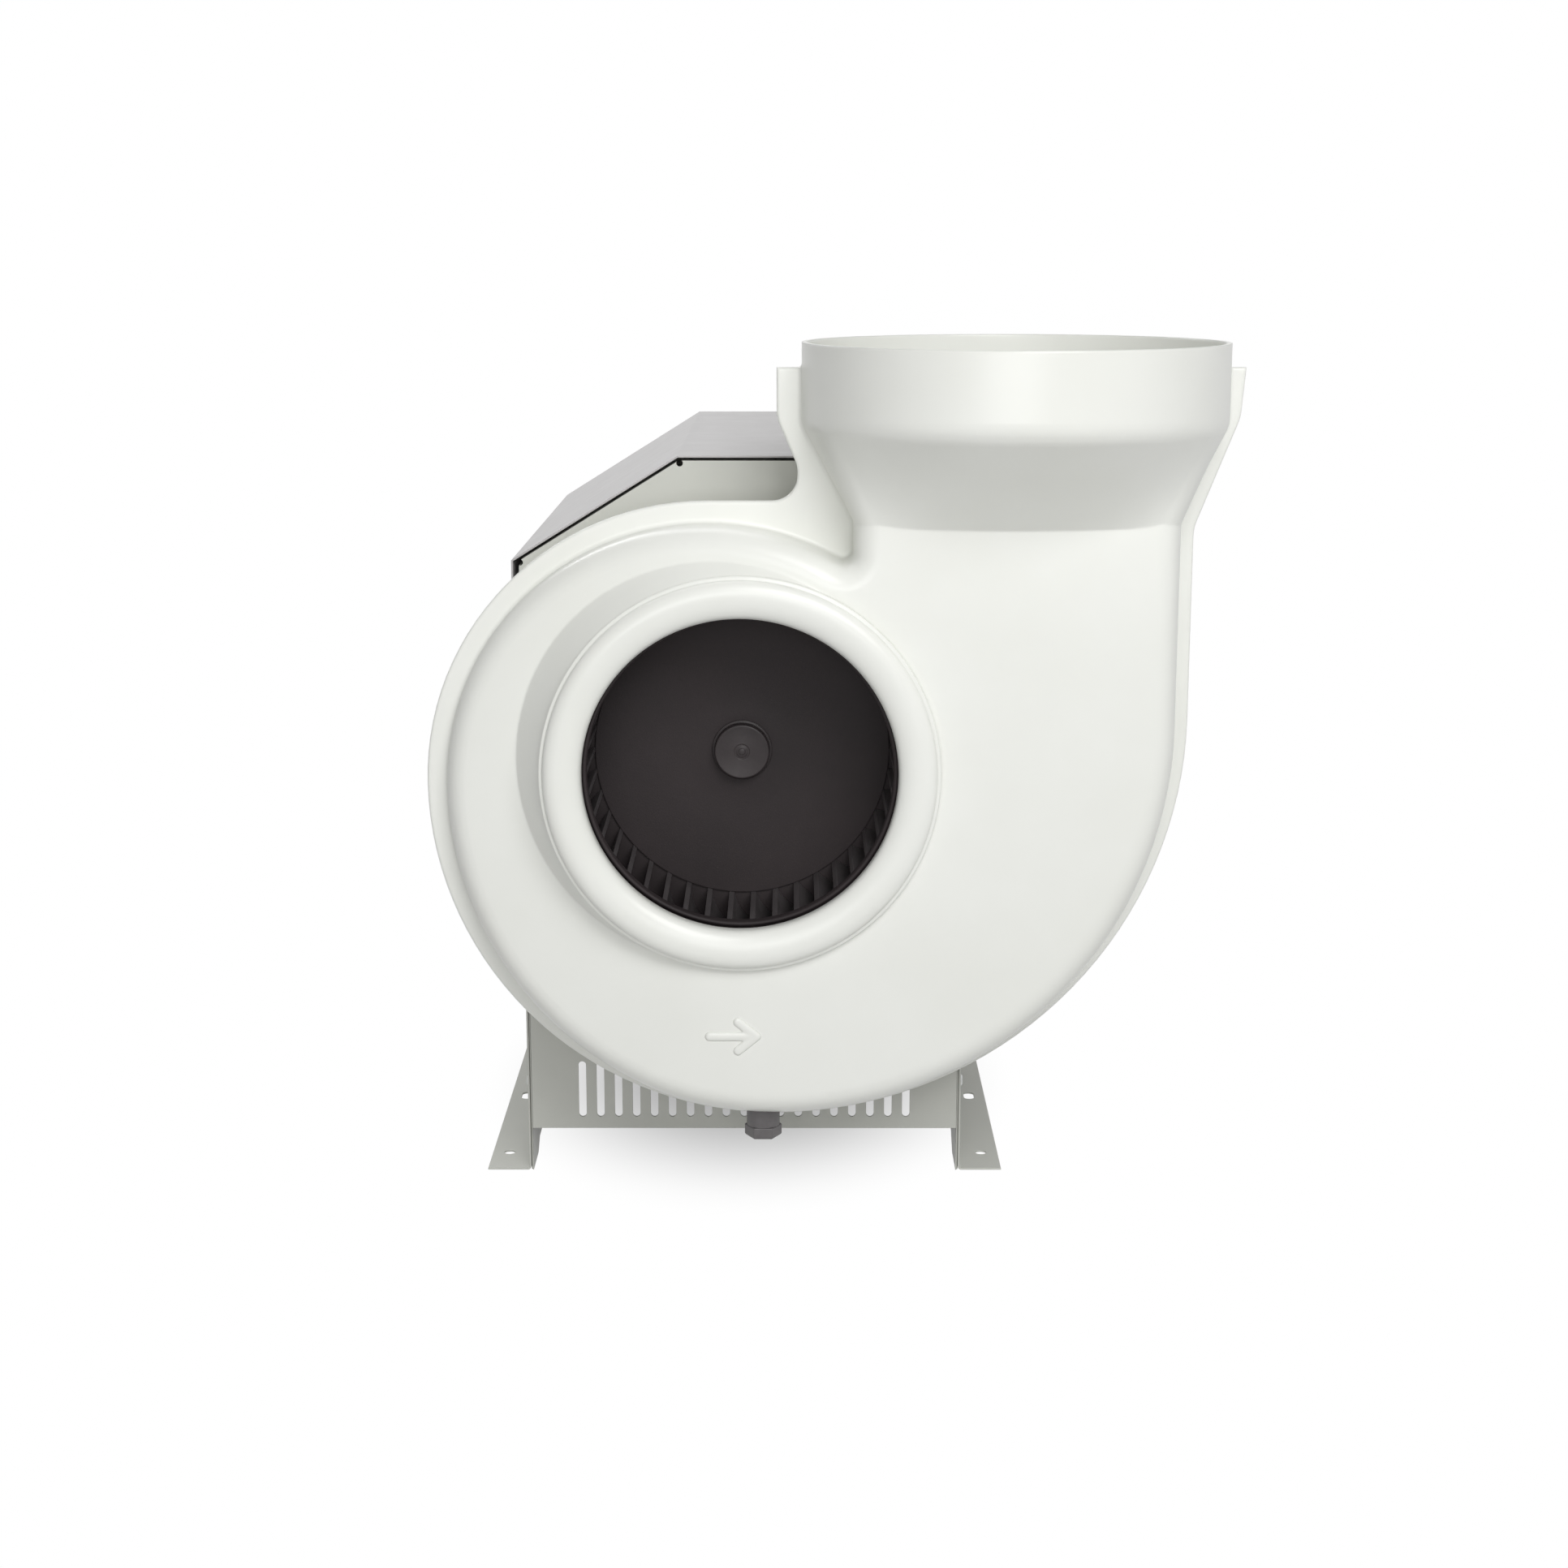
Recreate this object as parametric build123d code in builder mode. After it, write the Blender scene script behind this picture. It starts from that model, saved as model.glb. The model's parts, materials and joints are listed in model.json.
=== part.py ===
"""Centrifugal plastic blower: moulded scroll casing, black drum impeller, flange motor and a
sheet-metal stand with a rain hood. Millimetres, +Z up, the inlet faces -Y.

Origin: centre of the foot bolt pattern, on the floor, under the shaft axis.
"""

import os
from math import atan2, cos, degrees, radians, sin, sqrt, tan

from build123d import *

# Shaft and stand
shaft_height = 360.0
stand_depth = 520.0
sheet = 2.0
plate_sheet = 1.6
stand_half_width = 174.8
foot_width = 34.0
foot_hole_radius = 4.5
foot_hole_inset = 14.0
foot_hole_setback = 37.5
foot_slot_setback = 182.0
foot_slot_length = 18.0
plate_top = 485.0
plate_bend_radius = 3.0

# Stand panels
panel_bottom = 36.0
panel_return = 92.0
leg_depth_at_floor = 41.0
top_return = 22.0
vent_count = 19
vent_pitch = 14.64
vent_width = 6.2
vent_length = 47.0
vent_bottom = 46.0
panel_bend_radius = 3.0
panel_relief_radius = 2.5
spigot_clearance = 0.1
bolt_clearance = 0.5

# Rain hood
hood_sheet = 1.5
hood_half_width = 180.5
hood_top_half_width = 50.3
hood_ridge = 583.0
hood_eave = 502.0
hood_skirt = 412.0
hood_gap = 2.2
hood_screw_radius = 2.5
hood_screw_head_radius = 5.0
hood_screw_head_height = 2.6
hood_screw_setback = 30.0
hood_screw_rise = 18.0
hood_spacer_radius = 6.0
side_screw_radius = 2.5
side_screw_length = 8.0
side_screw_setback = 22.0
side_screw_heights = (70.0, 225.0, 380.0)
screw_clearance = 0.15

# Scroll casing
panel_to_joint = 77.0
shell_depth = 63.0
wall = 4.0
scroll_radius = 198.25
scroll_step = 49.5
scroll_lift = 6.5
throat_left = 84.0
throat_rise = 5.0
tongue_radius = 8.0
rim_radius = 18.0
tilt_angle = 8.8
tilt_heading = 161.4
tilt_offset = 28.7
tilt_blend = 250.0

# Outlet spigot
duct_lap = 6.0
duct_tuck = 2.0
outlet_radius = 157.5
duct_height = 69.0
spigot_length = 59.0
spigot_blend = 20.0

# Joint flange of the two casing halves
flange_width = 16.0
flange_thickness = 5.0
flange_root_radius = 3.0
flange_edge_radius = 1.5
ear_drop = 18.5
ear_foot_rise = 4.0
ear_width = 18.5
ear_right_width = 12.5
ear_right_foot_width = 9.5
notch_radius = 19.0
notch_setback = 41.5
notch_rise = 42.0
shoulder_drop = 9.0
shoulder_radius = 30.0

# Inlet collar and ring
collar_radius = 146.0
collar_rise = 2.0
collar_slope = 37.0
collar_hole_radius = 125.0
ring_radius = 147.2
ring_crest_radius = 135.0
inlet_radius = 117.0
inlet_neck_length = 10.0
ring_rise = 14.0
ring_bead = 1.2
ring_bead_height = 4.0
ring_spigot_clearance = 0.2

# Rear mounting pad
pad_radius = 150.0
pad_bore_radius = 97.0
pad_bolt_circle_radius = 124.0
pad_bolt_count = 6
pad_bolt_radius = 4.0
pad_bolt_depth = 11.0
pad_bolt_head_radius = 6.5
pad_bolt_head_height = 5.3
rear_hole_radius = 40.0

# Drain
drain_x = 16.5
drain_depth = 45.0
drain_body_radius = 12.7
drain_bore_radius = 8.0
drain_thread_radius = 11.0
drain_body_length = 15.0
drain_thread_length = 7.0
drain_cap_radius = 14.4
drain_cap_height = 9.0
drain_cap_wall = 2.0

# Impeller
impeller_radius = 140.0
eye_radius = 114.0
impeller_front_depth = 22.0
impeller_ring_thickness = 8.0
impeller_disc_depth = 112.0
disc_thickness = 5.0
disc_step = 2.0
blade_count = 42
blade_thickness = 2.4
blade_root_thickness = 4.2
blade_bow = 0.34
blade_sweep = 9.0
blade_seat = 0.05

# Hub, cap and fastening of the impeller
hub_radius = 25.0
hub_nose_radius = 18.0
hub_nose_height = 1.5
hub_flange_radius = 42.0
hub_flange_thickness = 5.0
hub_length = 33.0
seal_gap = 0.6
seal_lip_radius = 46.0
seal_lip_thickness = 2.0
cap_radius = 21.4
cap_skirt_radius = 23.3
cap_rise = 10.0
cap_skirt_height = 2.0
cap_wall = 2.5
cap_boss_radius = 3.5
cap_boss_height = 0.8
rotor_screw_radius = 4.0
rotor_screw_head_radius = 6.5
rotor_screw_head_height = 4.0
rotor_screw_length = 20.0
rotor_washer_radius = 15.0
rotor_washer_thickness = 3.0
fit = 0.05

# Motor
shaft_radius = 9.5
shaft_extension = 40.0
bearing_seat_radius = 10.0
bearing_outer_radius = 23.5
bearing_width = 14.0
bearing_ball_radius = 4.0
bearing_ball_count = 8
bearing_race_thickness = 3.0
bearing_running_gap = 0.05
shaft_shoulder_radius = 13.0
key_width = 6.0
key_height = 6.0
key_length = 25.0
key_depth = 3.5
key_setback = 4.0
motor_flange_radius = 100.0
motor_flange_thickness = 11.0
motor_spigot_radius = 65.0
motor_spigot_height = 3.5
motor_bolt_circle_radius = 82.5
motor_bolt_count = 4
motor_bolt_start_angle = 45.0
motor_bolt_radius = 5.0
motor_bolt_hole_radius = 6.0
motor_bolt_head_height = 6.4
motor_bolt_head_radius = 8.5
shield_length = 34.0
shield_web = 4.0
shield_shaft_gap = 1.2
shield_face_radius = 70.0
motor_bore_radius = 66.0
motor_tube_radius = 70.0
fin_radius = 79.0
fin_count = 28
fin_thickness = 2.6
motor_body_length = 150.0
rear_shield_length = 26.0
rear_shield_cone_radius = 60.0
rear_shield_seat = 16.0
rear_bearing_setback = 8.0
stator_bore_radius = 46.0
stator_length = 96.0
winding_length = 20.0
winding_inner_radius = 48.5
winding_outer_radius = 62.0
air_gap = 0.4
core_shaft_radius = 15.0
fan_radius = 66.0
fan_hub_radius = 18.0
fan_shaft_radius = 9.0
fan_width = 26.0
fan_setback = 4.0
fan_disc_thickness = 3.0
fan_blade_count = 7
fan_blade_thickness = 2.5
cowl_sheet = 1.5
cowl_length = 66.0
cowl_overlap = 6.0
cowl_corner_radius = 8.0
cowl_slot_count = 16
cowl_slot_width = 5.0
cowl_slot_length = 32.0
cowl_slot_radius = 42.0
tie_bolt_radius = 3.0
tie_bolt_circle_radius = 73.0
tie_bolt_count = 4
tie_bolt_head_radius = 5.0
tie_bolt_head_height = 4.0
tie_bolt_engagement = 12.0
terminal_pad_size = 84.0
terminal_pad_height = 80.0

# Terminal box
box_length = 104.0
box_width = 104.0
box_height = 34.0
box_wall = 3.5
box_lid_height = 12.0
box_corner_radius = 8.0
box_screw_radius = 2.5
box_screw_head_radius = 4.4
box_screw_head_height = 3.0
box_screw_inset = 9.0
gland_radius = 10.0
gland_nut_radius = 13.5
gland_nut_length = 8.0
gland_dome_length = 13.0
gland_bore_radius = 5.0

# Levels along Y, from the front of the stand to the inlet
stand_front = -stand_depth / 2
stand_rear = stand_depth / 2
joint_y = stand_front - panel_to_joint
face_y = joint_y - shell_depth
inlet_y = face_y - ring_rise
collar_y = face_y - collar_rise
rear_face_y = joint_y + shell_depth
flange_seat_y = stand_front + sheet
shaft_end_y = flange_seat_y - shaft_extension

# Levels worked out from the sizes above
half_step = scroll_step / 2
scroll_low = scroll_lift - half_step
scroll_high = scroll_lift + half_step
crown = scroll_low + scroll_radius
throat_top = crown + throat_rise
spigot_base = throat_top + duct_height
spigot_top = spigot_base + spigot_length
ear_top = spigot_top - ear_drop
ear_foot = spigot_base + ear_foot_rise
notch_x = throat_left - notch_setback
notch_top = crown + notch_rise
flange_shoulder = throat_top - shoulder_drop
throat_right = half_step + scroll_radius + 2 * scroll_step
throat_width = throat_right - throat_left
outlet_x = (throat_left + throat_right) / 2
foot_x = stand_half_width + plate_sheet + foot_width
foot_hole_x = foot_x - foot_hole_inset
casing_bottom = shaft_height + scroll_low - scroll_radius - scroll_step
impeller_front_y = inlet_y + impeller_front_depth
blade_front_y = impeller_front_y + impeller_ring_thickness
disc_front_y = inlet_y + impeller_disc_depth
disc_rear_y = disc_front_y + disc_thickness
hub_rear_y = disc_rear_y + hub_length
body_front_y = flange_seat_y + shield_length
body_rear_y = body_front_y + motor_body_length
rear_shield_end_y = body_rear_y + rear_shield_length
front_bearing_y = flange_seat_y + shield_web
rear_bearing_y = body_rear_y + rear_bearing_setback
bearing_bore_radius = bearing_outer_radius + fit
fan_y = rear_shield_end_y + fan_setback
core_mid_y = body_front_y + motor_body_length / 2
reach = 2 * (scroll_radius + scroll_step)


def facing(y):
    """A sketch plane that faces the inlet side: local x is +X, local y is +Z, about the shaft."""
    return Plane(origin=(0, y, shaft_height), x_dir=(1, 0, 0), z_dir=(0, -1, 0))


def lengthwise():
    """A sketch plane through the shaft: local x runs towards the motor, local y is the radius."""
    return Plane(origin=(0, 0, shaft_height), x_dir=(0, 1, 0), z_dir=(1, 0, 0))


shaft_axis = Axis((0, 0, shaft_height), (0, 1, 0))


def turned(points, angle=360):
    """A solid turned about the shaft from a closed profile of (y, radius) points."""
    with BuildPart() as piece:
        with BuildSketch(lengthwise()):
            with BuildLine():
                Polyline(*points, close=True)
            make_face()
        revolve(axis=shaft_axis, revolution_arc=angle)
    return piece.part


def tube(y_from, y_to, inner, outer):
    """A plain ring or disc about the shaft."""
    return turned([(y_from, inner), (y_to, inner), (y_to, outer), (y_from, outer)])


def save(piece, name):
    piece.label = name
    export_step(piece, f"parts/{name}.step")


os.makedirs("parts", exist_ok=True)


# Casing volume, used for the outside and for the air space


def scroll_outline(inset):
    """The volute seen from the inlet: three growing arcs and a straight throat."""
    first = scroll_radius - inset
    second = first + scroll_step
    third = second + scroll_step
    left_x = throat_left + inset
    right_x = throat_right - inset
    run = left_x + half_step
    rise = sqrt(first**2 - run**2)
    tongue = (left_x, scroll_low + rise)
    tongue_angle = degrees(atan2(rise, run))
    with BuildSketch(facing(joint_y)) as outline:
        with BuildLine():
            CenterArc((-half_step, scroll_low), first, tongue_angle, 180 - tongue_angle)
            CenterArc((half_step, scroll_low), second, 180, 90)
            CenterArc((half_step, scroll_high), third, 270, 90)
            Polyline((right_x, scroll_high), (right_x, throat_top), (left_x, throat_top), tongue)
        make_face()
        fillet(outline.vertices().sort_by_distance(tongue)[0], tongue_radius + inset)
    return outline.sketch


def face_wedge(inset):
    """What the mould leaves off the front: the face falls back towards the narrow side."""
    fall = Vector(cos(radians(tilt_heading)), 0, sin(radians(tilt_heading)))
    ahead = Vector(0, -1, 0)
    plane = Plane(
        origin=(0, face_y + inset, shaft_height), x_dir=fall, z_dir=fall.cross(ahead)
    )
    drop = (reach + tilt_offset) * tan(radians(tilt_angle))
    flat_end = -tilt_offset - 2 * tilt_blend * tan(radians(tilt_angle))
    with BuildPart() as tool:
        with BuildSketch(plane):
            with BuildLine():
                FilletPolyline(
                    (flat_end, 0), (-tilt_offset, 0), (reach, -drop), radius=tilt_blend
                )
                Polyline((reach, -drop), (reach, drop), (flat_end, drop), (flat_end, 0))
            make_face()
        extrude(amount=reach, both=True)
    return tool.part


def is_rim(edge):
    """True for the edges round both faces, but not for the throat end or a tangent seam."""
    if abs(edge.center().Y - joint_y) < shell_depth / 5:
        return False
    if edge.center().Z > shaft_height + throat_top - wall / 2:
        return False
    return edge.geom_type != GeomType.LINE or abs(edge.tangent_at(0.5).Z) > 0.99


def casing_volume(inset):
    """The scroll with its collar, throat, square-to-round piece and spigot, as one solid."""
    with BuildPart() as collar:
        extrude(scroll_outline(inset), amount=shell_depth - inset)
        with Locations(facing(joint_y)):
            Cone(
                collar_radius - inset + shell_depth * tan(radians(collar_slope)),
                collar_radius - inset,
                shell_depth - inset,
                align=(Align.CENTER, Align.CENTER, Align.MIN),
                mode=Mode.INTERSECT,
            )
    with BuildPart() as volume:
        extrude(scroll_outline(inset), amount=shell_depth - inset, both=True)
        add(face_wedge(inset), mode=Mode.SUBTRACT)
        fillet(volume.edges().filter_by(is_rim), rim_radius - inset)
        add(collar.part)
        with Locations(facing(joint_y)):
            Cylinder(
                collar_radius - inset,
                shell_depth + collar_rise - inset,
                align=(Align.CENTER, Align.CENTER, Align.MIN),
            )
    return volume.part


def duct_volume(inset, overrun):
    """The square-to-round transition and the round spigot, started just inside the throat."""
    tuck = inset + duct_tuck
    with BuildPart() as duct:
        with BuildSketch(Plane.XY.offset(shaft_height + throat_top - duct_lap)):
            with Locations((outlet_x, joint_y)):
                RectangleRounded(
                    throat_width - 2 * tuck, 2 * (shell_depth - tuck), rim_radius - tuck
                )
        with BuildSketch(Plane.XY.offset(shaft_height + spigot_base)):
            with Locations((outlet_x, joint_y)):
                Circle(outlet_radius - inset)
        loft()
        extrude(duct.faces().sort_by(Axis.Z)[-1], amount=spigot_top - spigot_base + overrun)
    return duct.part


def flange_plate():
    """The flat joint flange of both halves: round the scroll, up to the ears, across the spigot."""
    first = scroll_radius + flange_width
    second = first + scroll_step
    third = second + scroll_step
    right_x = throat_right + flange_width
    left_ear = outlet_x - outlet_radius - ear_width
    right_ear = outlet_x + outlet_radius + ear_right_width
    right_foot = outlet_x + outlet_radius + ear_right_foot_width
    with BuildPart() as flange:
        with BuildSketch(facing(joint_y)):
            with BuildLine():
                CenterArc((-half_step, scroll_low), first, 90, 90)
                CenterArc((half_step, scroll_low), second, 180, 90)
                CenterArc((half_step, scroll_high), third, 270, 90)
                FilletPolyline(
                    (right_x, scroll_high),
                    (right_x, flange_shoulder),
                    (right_foot, ear_foot),
                    (right_ear, ear_top),
                    radius=shoulder_radius,
                )
                Line((right_ear, ear_top), (left_ear, ear_top))
                FilletPolyline(
                    (left_ear, ear_top),
                    (left_ear, ear_foot),
                    (notch_x, notch_top),
                    (notch_x, scroll_low + first),
                    (-half_step, scroll_low + first),
                    radius=[shoulder_radius, notch_radius, notch_radius],
                )
            make_face()
        extrude(amount=flange_thickness, both=True)
        fillet(flange.faces().filter_by(Axis.Y).edges(), flange_edge_radius)
    return flange.part


def is_flange_root(edge):
    """True for an edge in one of the flange's two faces, where the casing wall rises from it."""
    return edge.bounding_box().size.Y < fit


with BuildPart() as duct_outside:
    add(duct_volume(0, 0))
    base_z = shaft_height + spigot_base
    shoulder = duct_outside.edges().filter_by_position(Axis.Z, base_z - fit, base_z + fit)
    fillet(shoulder, spigot_blend)

casing_outside = casing_volume(0) + duct_outside.part
air_space = casing_volume(wall) + duct_volume(wall, wall)
joint_flange = flange_plate()

with BuildPart() as casing:
    add(casing_outside)
    add(joint_flange)
    roots = new_edges(casing_outside, joint_flange, combined=casing.part)
    fillet(roots.filter_by(is_flange_root), flange_root_radius)
    add(air_space, mode=Mode.SUBTRACT)

# Front casing half, with the opening for the inlet ring and the drain hole

drain_y = inlet_y + drain_depth

with BuildPart() as front_casing:
    add(casing.part)
    split(bisect_by=Plane.XZ.offset(-joint_y), keep=Keep.TOP)
    with Locations(facing(collar_y)):
        Cylinder(collar_hole_radius, 4 * wall, mode=Mode.SUBTRACT)
    with Locations((drain_x, drain_y, shaft_height - scroll_radius - scroll_step)):
        Cylinder(drain_bore_radius, 2 * scroll_step, mode=Mode.SUBTRACT)
save(front_casing.part, "front_casing")

# Rear casing half, with the raised pad that bolts to the stand

with BuildPart() as rear_casing:
    add(casing.part)
    split(bisect_by=Plane.XZ.offset(-joint_y), keep=Keep.BOTTOM)
    add(tube(rear_face_y, stand_front, pad_bore_radius, pad_radius))
    with Locations(facing(rear_face_y)):
        Cylinder(rear_hole_radius, 4 * wall, mode=Mode.SUBTRACT)
    with Locations(facing(stand_front)):
        with PolarLocations(pad_bolt_circle_radius, pad_bolt_count):
            Cylinder(pad_bolt_radius, 2 * pad_bolt_depth, mode=Mode.SUBTRACT)
save(rear_casing.part, "rear_casing")


# Inlet ring: a rolled lip that sits on the collar


with BuildPart() as inlet_ring:
    with BuildSketch(lengthwise()):
        with BuildLine():
            lip_y = collar_y - ring_bead_height
            neck_y = inlet_y + inlet_neck_length
            spigot_radius = collar_hole_radius - ring_spigot_clearance
            Polyline(
                (neck_y, inlet_radius),
                (collar_y + wall, inlet_radius),
                (collar_y + wall, spigot_radius),
                (collar_y, spigot_radius),
                (collar_y, ring_radius + ring_bead),
                (lip_y, ring_radius + ring_bead),
                (lip_y, ring_radius),
            )
            EllipticalCenterArc(
                (lip_y, ring_crest_radius),
                lip_y - inlet_y,
                ring_radius - ring_crest_radius,
                start_angle=90,
                arc_size=90,
            )
            EllipticalCenterArc(
                (neck_y, ring_crest_radius),
                neck_y - inlet_y,
                ring_crest_radius - inlet_radius,
                start_angle=180,
                arc_size=90,
            )
        make_face()
    revolve(axis=shaft_axis)
save(inlet_ring.part, "inlet_ring")

# Drain under the scroll: a glued socket and its hexagonal cap

drain_seat = casing_bottom - drain_body_length
drain_thread_end = drain_seat - drain_thread_length

with BuildPart() as drain_socket:
    with Locations((drain_x, drain_y, drain_seat)):
        Cylinder(
            drain_body_radius,
            2 * drain_body_length,
            align=(Align.CENTER, Align.CENTER, Align.MIN),
        )
    with Locations((drain_x, drain_y, drain_seat)):
        Cylinder(
            drain_thread_radius,
            drain_thread_length,
            align=(Align.CENTER, Align.CENTER, Align.MAX),
        )
    with Locations((drain_x, drain_y, drain_seat)):
        Cylinder(drain_bore_radius, 4 * drain_body_length, mode=Mode.SUBTRACT)
    add(casing_outside, mode=Mode.SUBTRACT)
save(drain_socket.part, "drain_socket")

with BuildPart() as drain_cap:
    with BuildSketch(Plane.XY.offset(drain_seat)):
        with Locations((drain_x, drain_y)):
            RegularPolygon(drain_cap_radius, 6)
    extrude(amount=-drain_cap_height)
    chamfer(drain_cap.faces().sort_by(Axis.Z)[0].edges(), drain_cap_wall / 2)
    with Locations((drain_x, drain_y, drain_seat)):
        Cylinder(
            drain_thread_radius + fit,
            drain_thread_length,
            align=(Align.CENTER, Align.CENTER, Align.MAX),
            mode=Mode.SUBTRACT,
        )
save(drain_cap.part, "drain_cap")

# Impeller: front ring, forward-curved blades and back disc


def polar(radius, angle):
    return (radius * cos(radians(angle)), radius * sin(radians(angle)))


with BuildPart() as impeller_ring:
    add(tube(impeller_front_y, blade_front_y, eye_radius, impeller_radius))
    front_edges = impeller_ring.edges().group_by(Axis.Y)[0]
    fillet(front_edges, impeller_ring_thickness / 3)
save(impeller_ring.part, "impeller_front_ring")

root = degrees(blade_root_thickness / eye_radius / 2)
tip = degrees(blade_thickness / impeller_radius / 2)
blade_inner = eye_radius + blade_seat
blade_outer = impeller_radius - blade_seat
blade_middle = (blade_inner + blade_outer) / 2
bowed = blade_sweep * blade_bow

with BuildPart() as blade:
    with BuildSketch(Plane.XY):
        with BuildLine():
            ThreePointArc(
                polar(blade_inner, -root),
                polar(blade_middle, bowed - tip),
                polar(blade_outer, blade_sweep - tip),
            )
            Line(polar(blade_outer, blade_sweep - tip), polar(blade_outer, blade_sweep + tip))
            ThreePointArc(
                polar(blade_outer, blade_sweep + tip),
                polar(blade_middle, bowed + tip),
                polar(blade_inner, root),
            )
            Line(polar(blade_inner, root), polar(blade_inner, -root))
        make_face()
    extrude(amount=-(disc_front_y + disc_step - blade_front_y))

with BuildPart() as impeller_blades:
    with Locations(facing(blade_front_y)):
        with PolarLocations(0, blade_count):
            add(blade.part)
save(impeller_blades.part, "impeller_blades")

with BuildPart() as impeller_disc:
    add(
        turned(
            [
                (disc_front_y, hub_nose_radius + fit),
                (disc_rear_y, hub_nose_radius + fit),
                (disc_rear_y, impeller_radius),
                (disc_front_y + disc_step, impeller_radius),
                (disc_front_y + disc_step, eye_radius),
                (disc_front_y, eye_radius),
            ]
        )
    )
save(impeller_disc.part, "impeller_back_disc")

# Hub, key, screw, washer and cap

nose_y = disc_rear_y - hub_nose_height

with BuildPart() as impeller_hub:
    add(
        turned(
            [
                (nose_y, shaft_radius + fit),
                (nose_y, hub_nose_radius),
                (disc_rear_y, hub_nose_radius),
                (disc_rear_y, hub_flange_radius),
                (disc_rear_y + hub_flange_thickness, hub_flange_radius),
                (disc_rear_y + hub_flange_thickness, hub_radius),
                (hub_rear_y, hub_radius),
                (hub_rear_y, shaft_radius + fit),
            ]
        )
    )
    with Locations((0, disc_rear_y, shaft_height + shaft_radius - key_depth + key_height / 2)):
        Box(key_width + 2 * fit, 3 * hub_length, key_height + 2 * fit, mode=Mode.SUBTRACT)
save(impeller_hub.part, "impeller_hub")

with BuildPart() as shaft_key:
    key_mid_y = shaft_end_y + key_setback + key_length / 2
    with Locations((0, key_mid_y, shaft_height + shaft_radius - key_depth + key_height / 2)):
        Box(key_width, key_length, key_height)
    fillet(shaft_key.edges().filter_by(Axis.Z), key_width / 2 - fit)
save(shaft_key.part, "shaft_key")

washer_y = nose_y - rotor_washer_thickness

with BuildPart() as rotor_washer:
    add(tube(washer_y, nose_y, rotor_screw_radius + screw_clearance, rotor_washer_radius))
save(rotor_washer.part, "rotor_washer")

with BuildPart() as rotor_screw:
    add(tube(washer_y - rotor_screw_head_height, washer_y, 0, rotor_screw_head_radius))
    add(tube(washer_y, washer_y + rotor_screw_length, 0, rotor_screw_radius))
    with BuildSketch(facing(washer_y - rotor_screw_head_height)):
        RegularPolygon(rotor_screw_radius, 6)
    extrude(amount=-rotor_screw_head_height / 2, mode=Mode.SUBTRACT)
save(rotor_screw.part, "rotor_screw")

cap_top_y = disc_front_y - cap_rise

with BuildPart() as hub_cap:
    add(
        turned(
            [
                (disc_front_y, cap_radius - cap_wall),
                (disc_front_y, cap_skirt_radius),
                (disc_front_y - cap_skirt_height, cap_skirt_radius),
                (disc_front_y - cap_skirt_height, cap_radius),
                (cap_top_y + cap_wall, cap_radius),
                (cap_top_y, cap_radius - cap_wall),
                (cap_top_y, cap_boss_radius),
                (cap_top_y - cap_boss_height, cap_boss_radius),
                (cap_top_y - cap_boss_height, 0),
                (cap_top_y + cap_wall, 0),
                (cap_top_y + cap_wall, cap_radius - cap_wall),
            ]
        )
    )
save(hub_cap.part, "hub_cap")

with BuildPart() as shaft_seal:
    add(tube(rear_face_y - wall, rear_face_y, hub_radius + seal_gap, rear_hole_radius - fit))
    add(
        tube(
            rear_face_y,
            rear_face_y + seal_lip_thickness,
            hub_radius + seal_gap,
            seal_lip_radius,
        )
    )
save(shaft_seal.part, "shaft_seal")

# Motor: shaft, bearings, rotor, stator, housing and shields

with BuildPart() as motor_shaft:
    add(
        turned(
            [
                (shaft_end_y, 0),
                (shaft_end_y, shaft_radius),
                (flange_seat_y, shaft_radius),
                (flange_seat_y, bearing_seat_radius),
                (front_bearing_y + bearing_width, bearing_seat_radius),
                (front_bearing_y + bearing_width, shaft_shoulder_radius),
                (core_mid_y - stator_length / 2, shaft_shoulder_radius),
                (core_mid_y - stator_length / 2, core_shaft_radius),
                (core_mid_y + stator_length / 2, core_shaft_radius),
                (core_mid_y + stator_length / 2, shaft_shoulder_radius),
                (rear_bearing_y, shaft_shoulder_radius),
                (rear_bearing_y, bearing_seat_radius),
                (rear_bearing_y + bearing_width, bearing_seat_radius),
                (rear_bearing_y + bearing_width, fan_shaft_radius),
                (fan_y + fan_width, fan_shaft_radius),
                (fan_y + fan_width, 0),
            ]
        )
    )
    with Locations((0, key_mid_y, shaft_height + shaft_radius - key_depth + key_height / 2)):
        Box(key_width + 2 * fit, key_length + 2 * fit, key_height, mode=Mode.SUBTRACT)
    with Locations(facing(shaft_end_y)):
        Cylinder(rotor_screw_radius + fit, 2 * rotor_screw_length, mode=Mode.SUBTRACT)
save(motor_shaft.part, "motor_shaft")

inner_race_radius = bearing_seat_radius + fit + bearing_race_thickness
outer_race_radius = inner_race_radius + 2 * bearing_ball_radius + 2 * bearing_running_gap
ball_circle_radius = inner_race_radius + bearing_ball_radius + bearing_running_gap

with BuildPart() as bearing_inner_rings:
    for y in (front_bearing_y, rear_bearing_y):
        add(tube(y, y + bearing_width, bearing_seat_radius + fit, inner_race_radius))
save(bearing_inner_rings.part, "bearing_inner_rings")

with BuildPart() as bearing_outer_rings:
    for y in (front_bearing_y, rear_bearing_y):
        add(tube(y, y + bearing_width, outer_race_radius, bearing_outer_radius))
save(bearing_outer_rings.part, "bearing_outer_rings")

with BuildPart() as bearing_balls:
    for y in (front_bearing_y, rear_bearing_y):
        with Locations(facing(y + bearing_width / 2)):
            with PolarLocations(ball_circle_radius, bearing_ball_count):
                Sphere(bearing_ball_radius)
save(bearing_balls.part, "bearing_balls")

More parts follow.
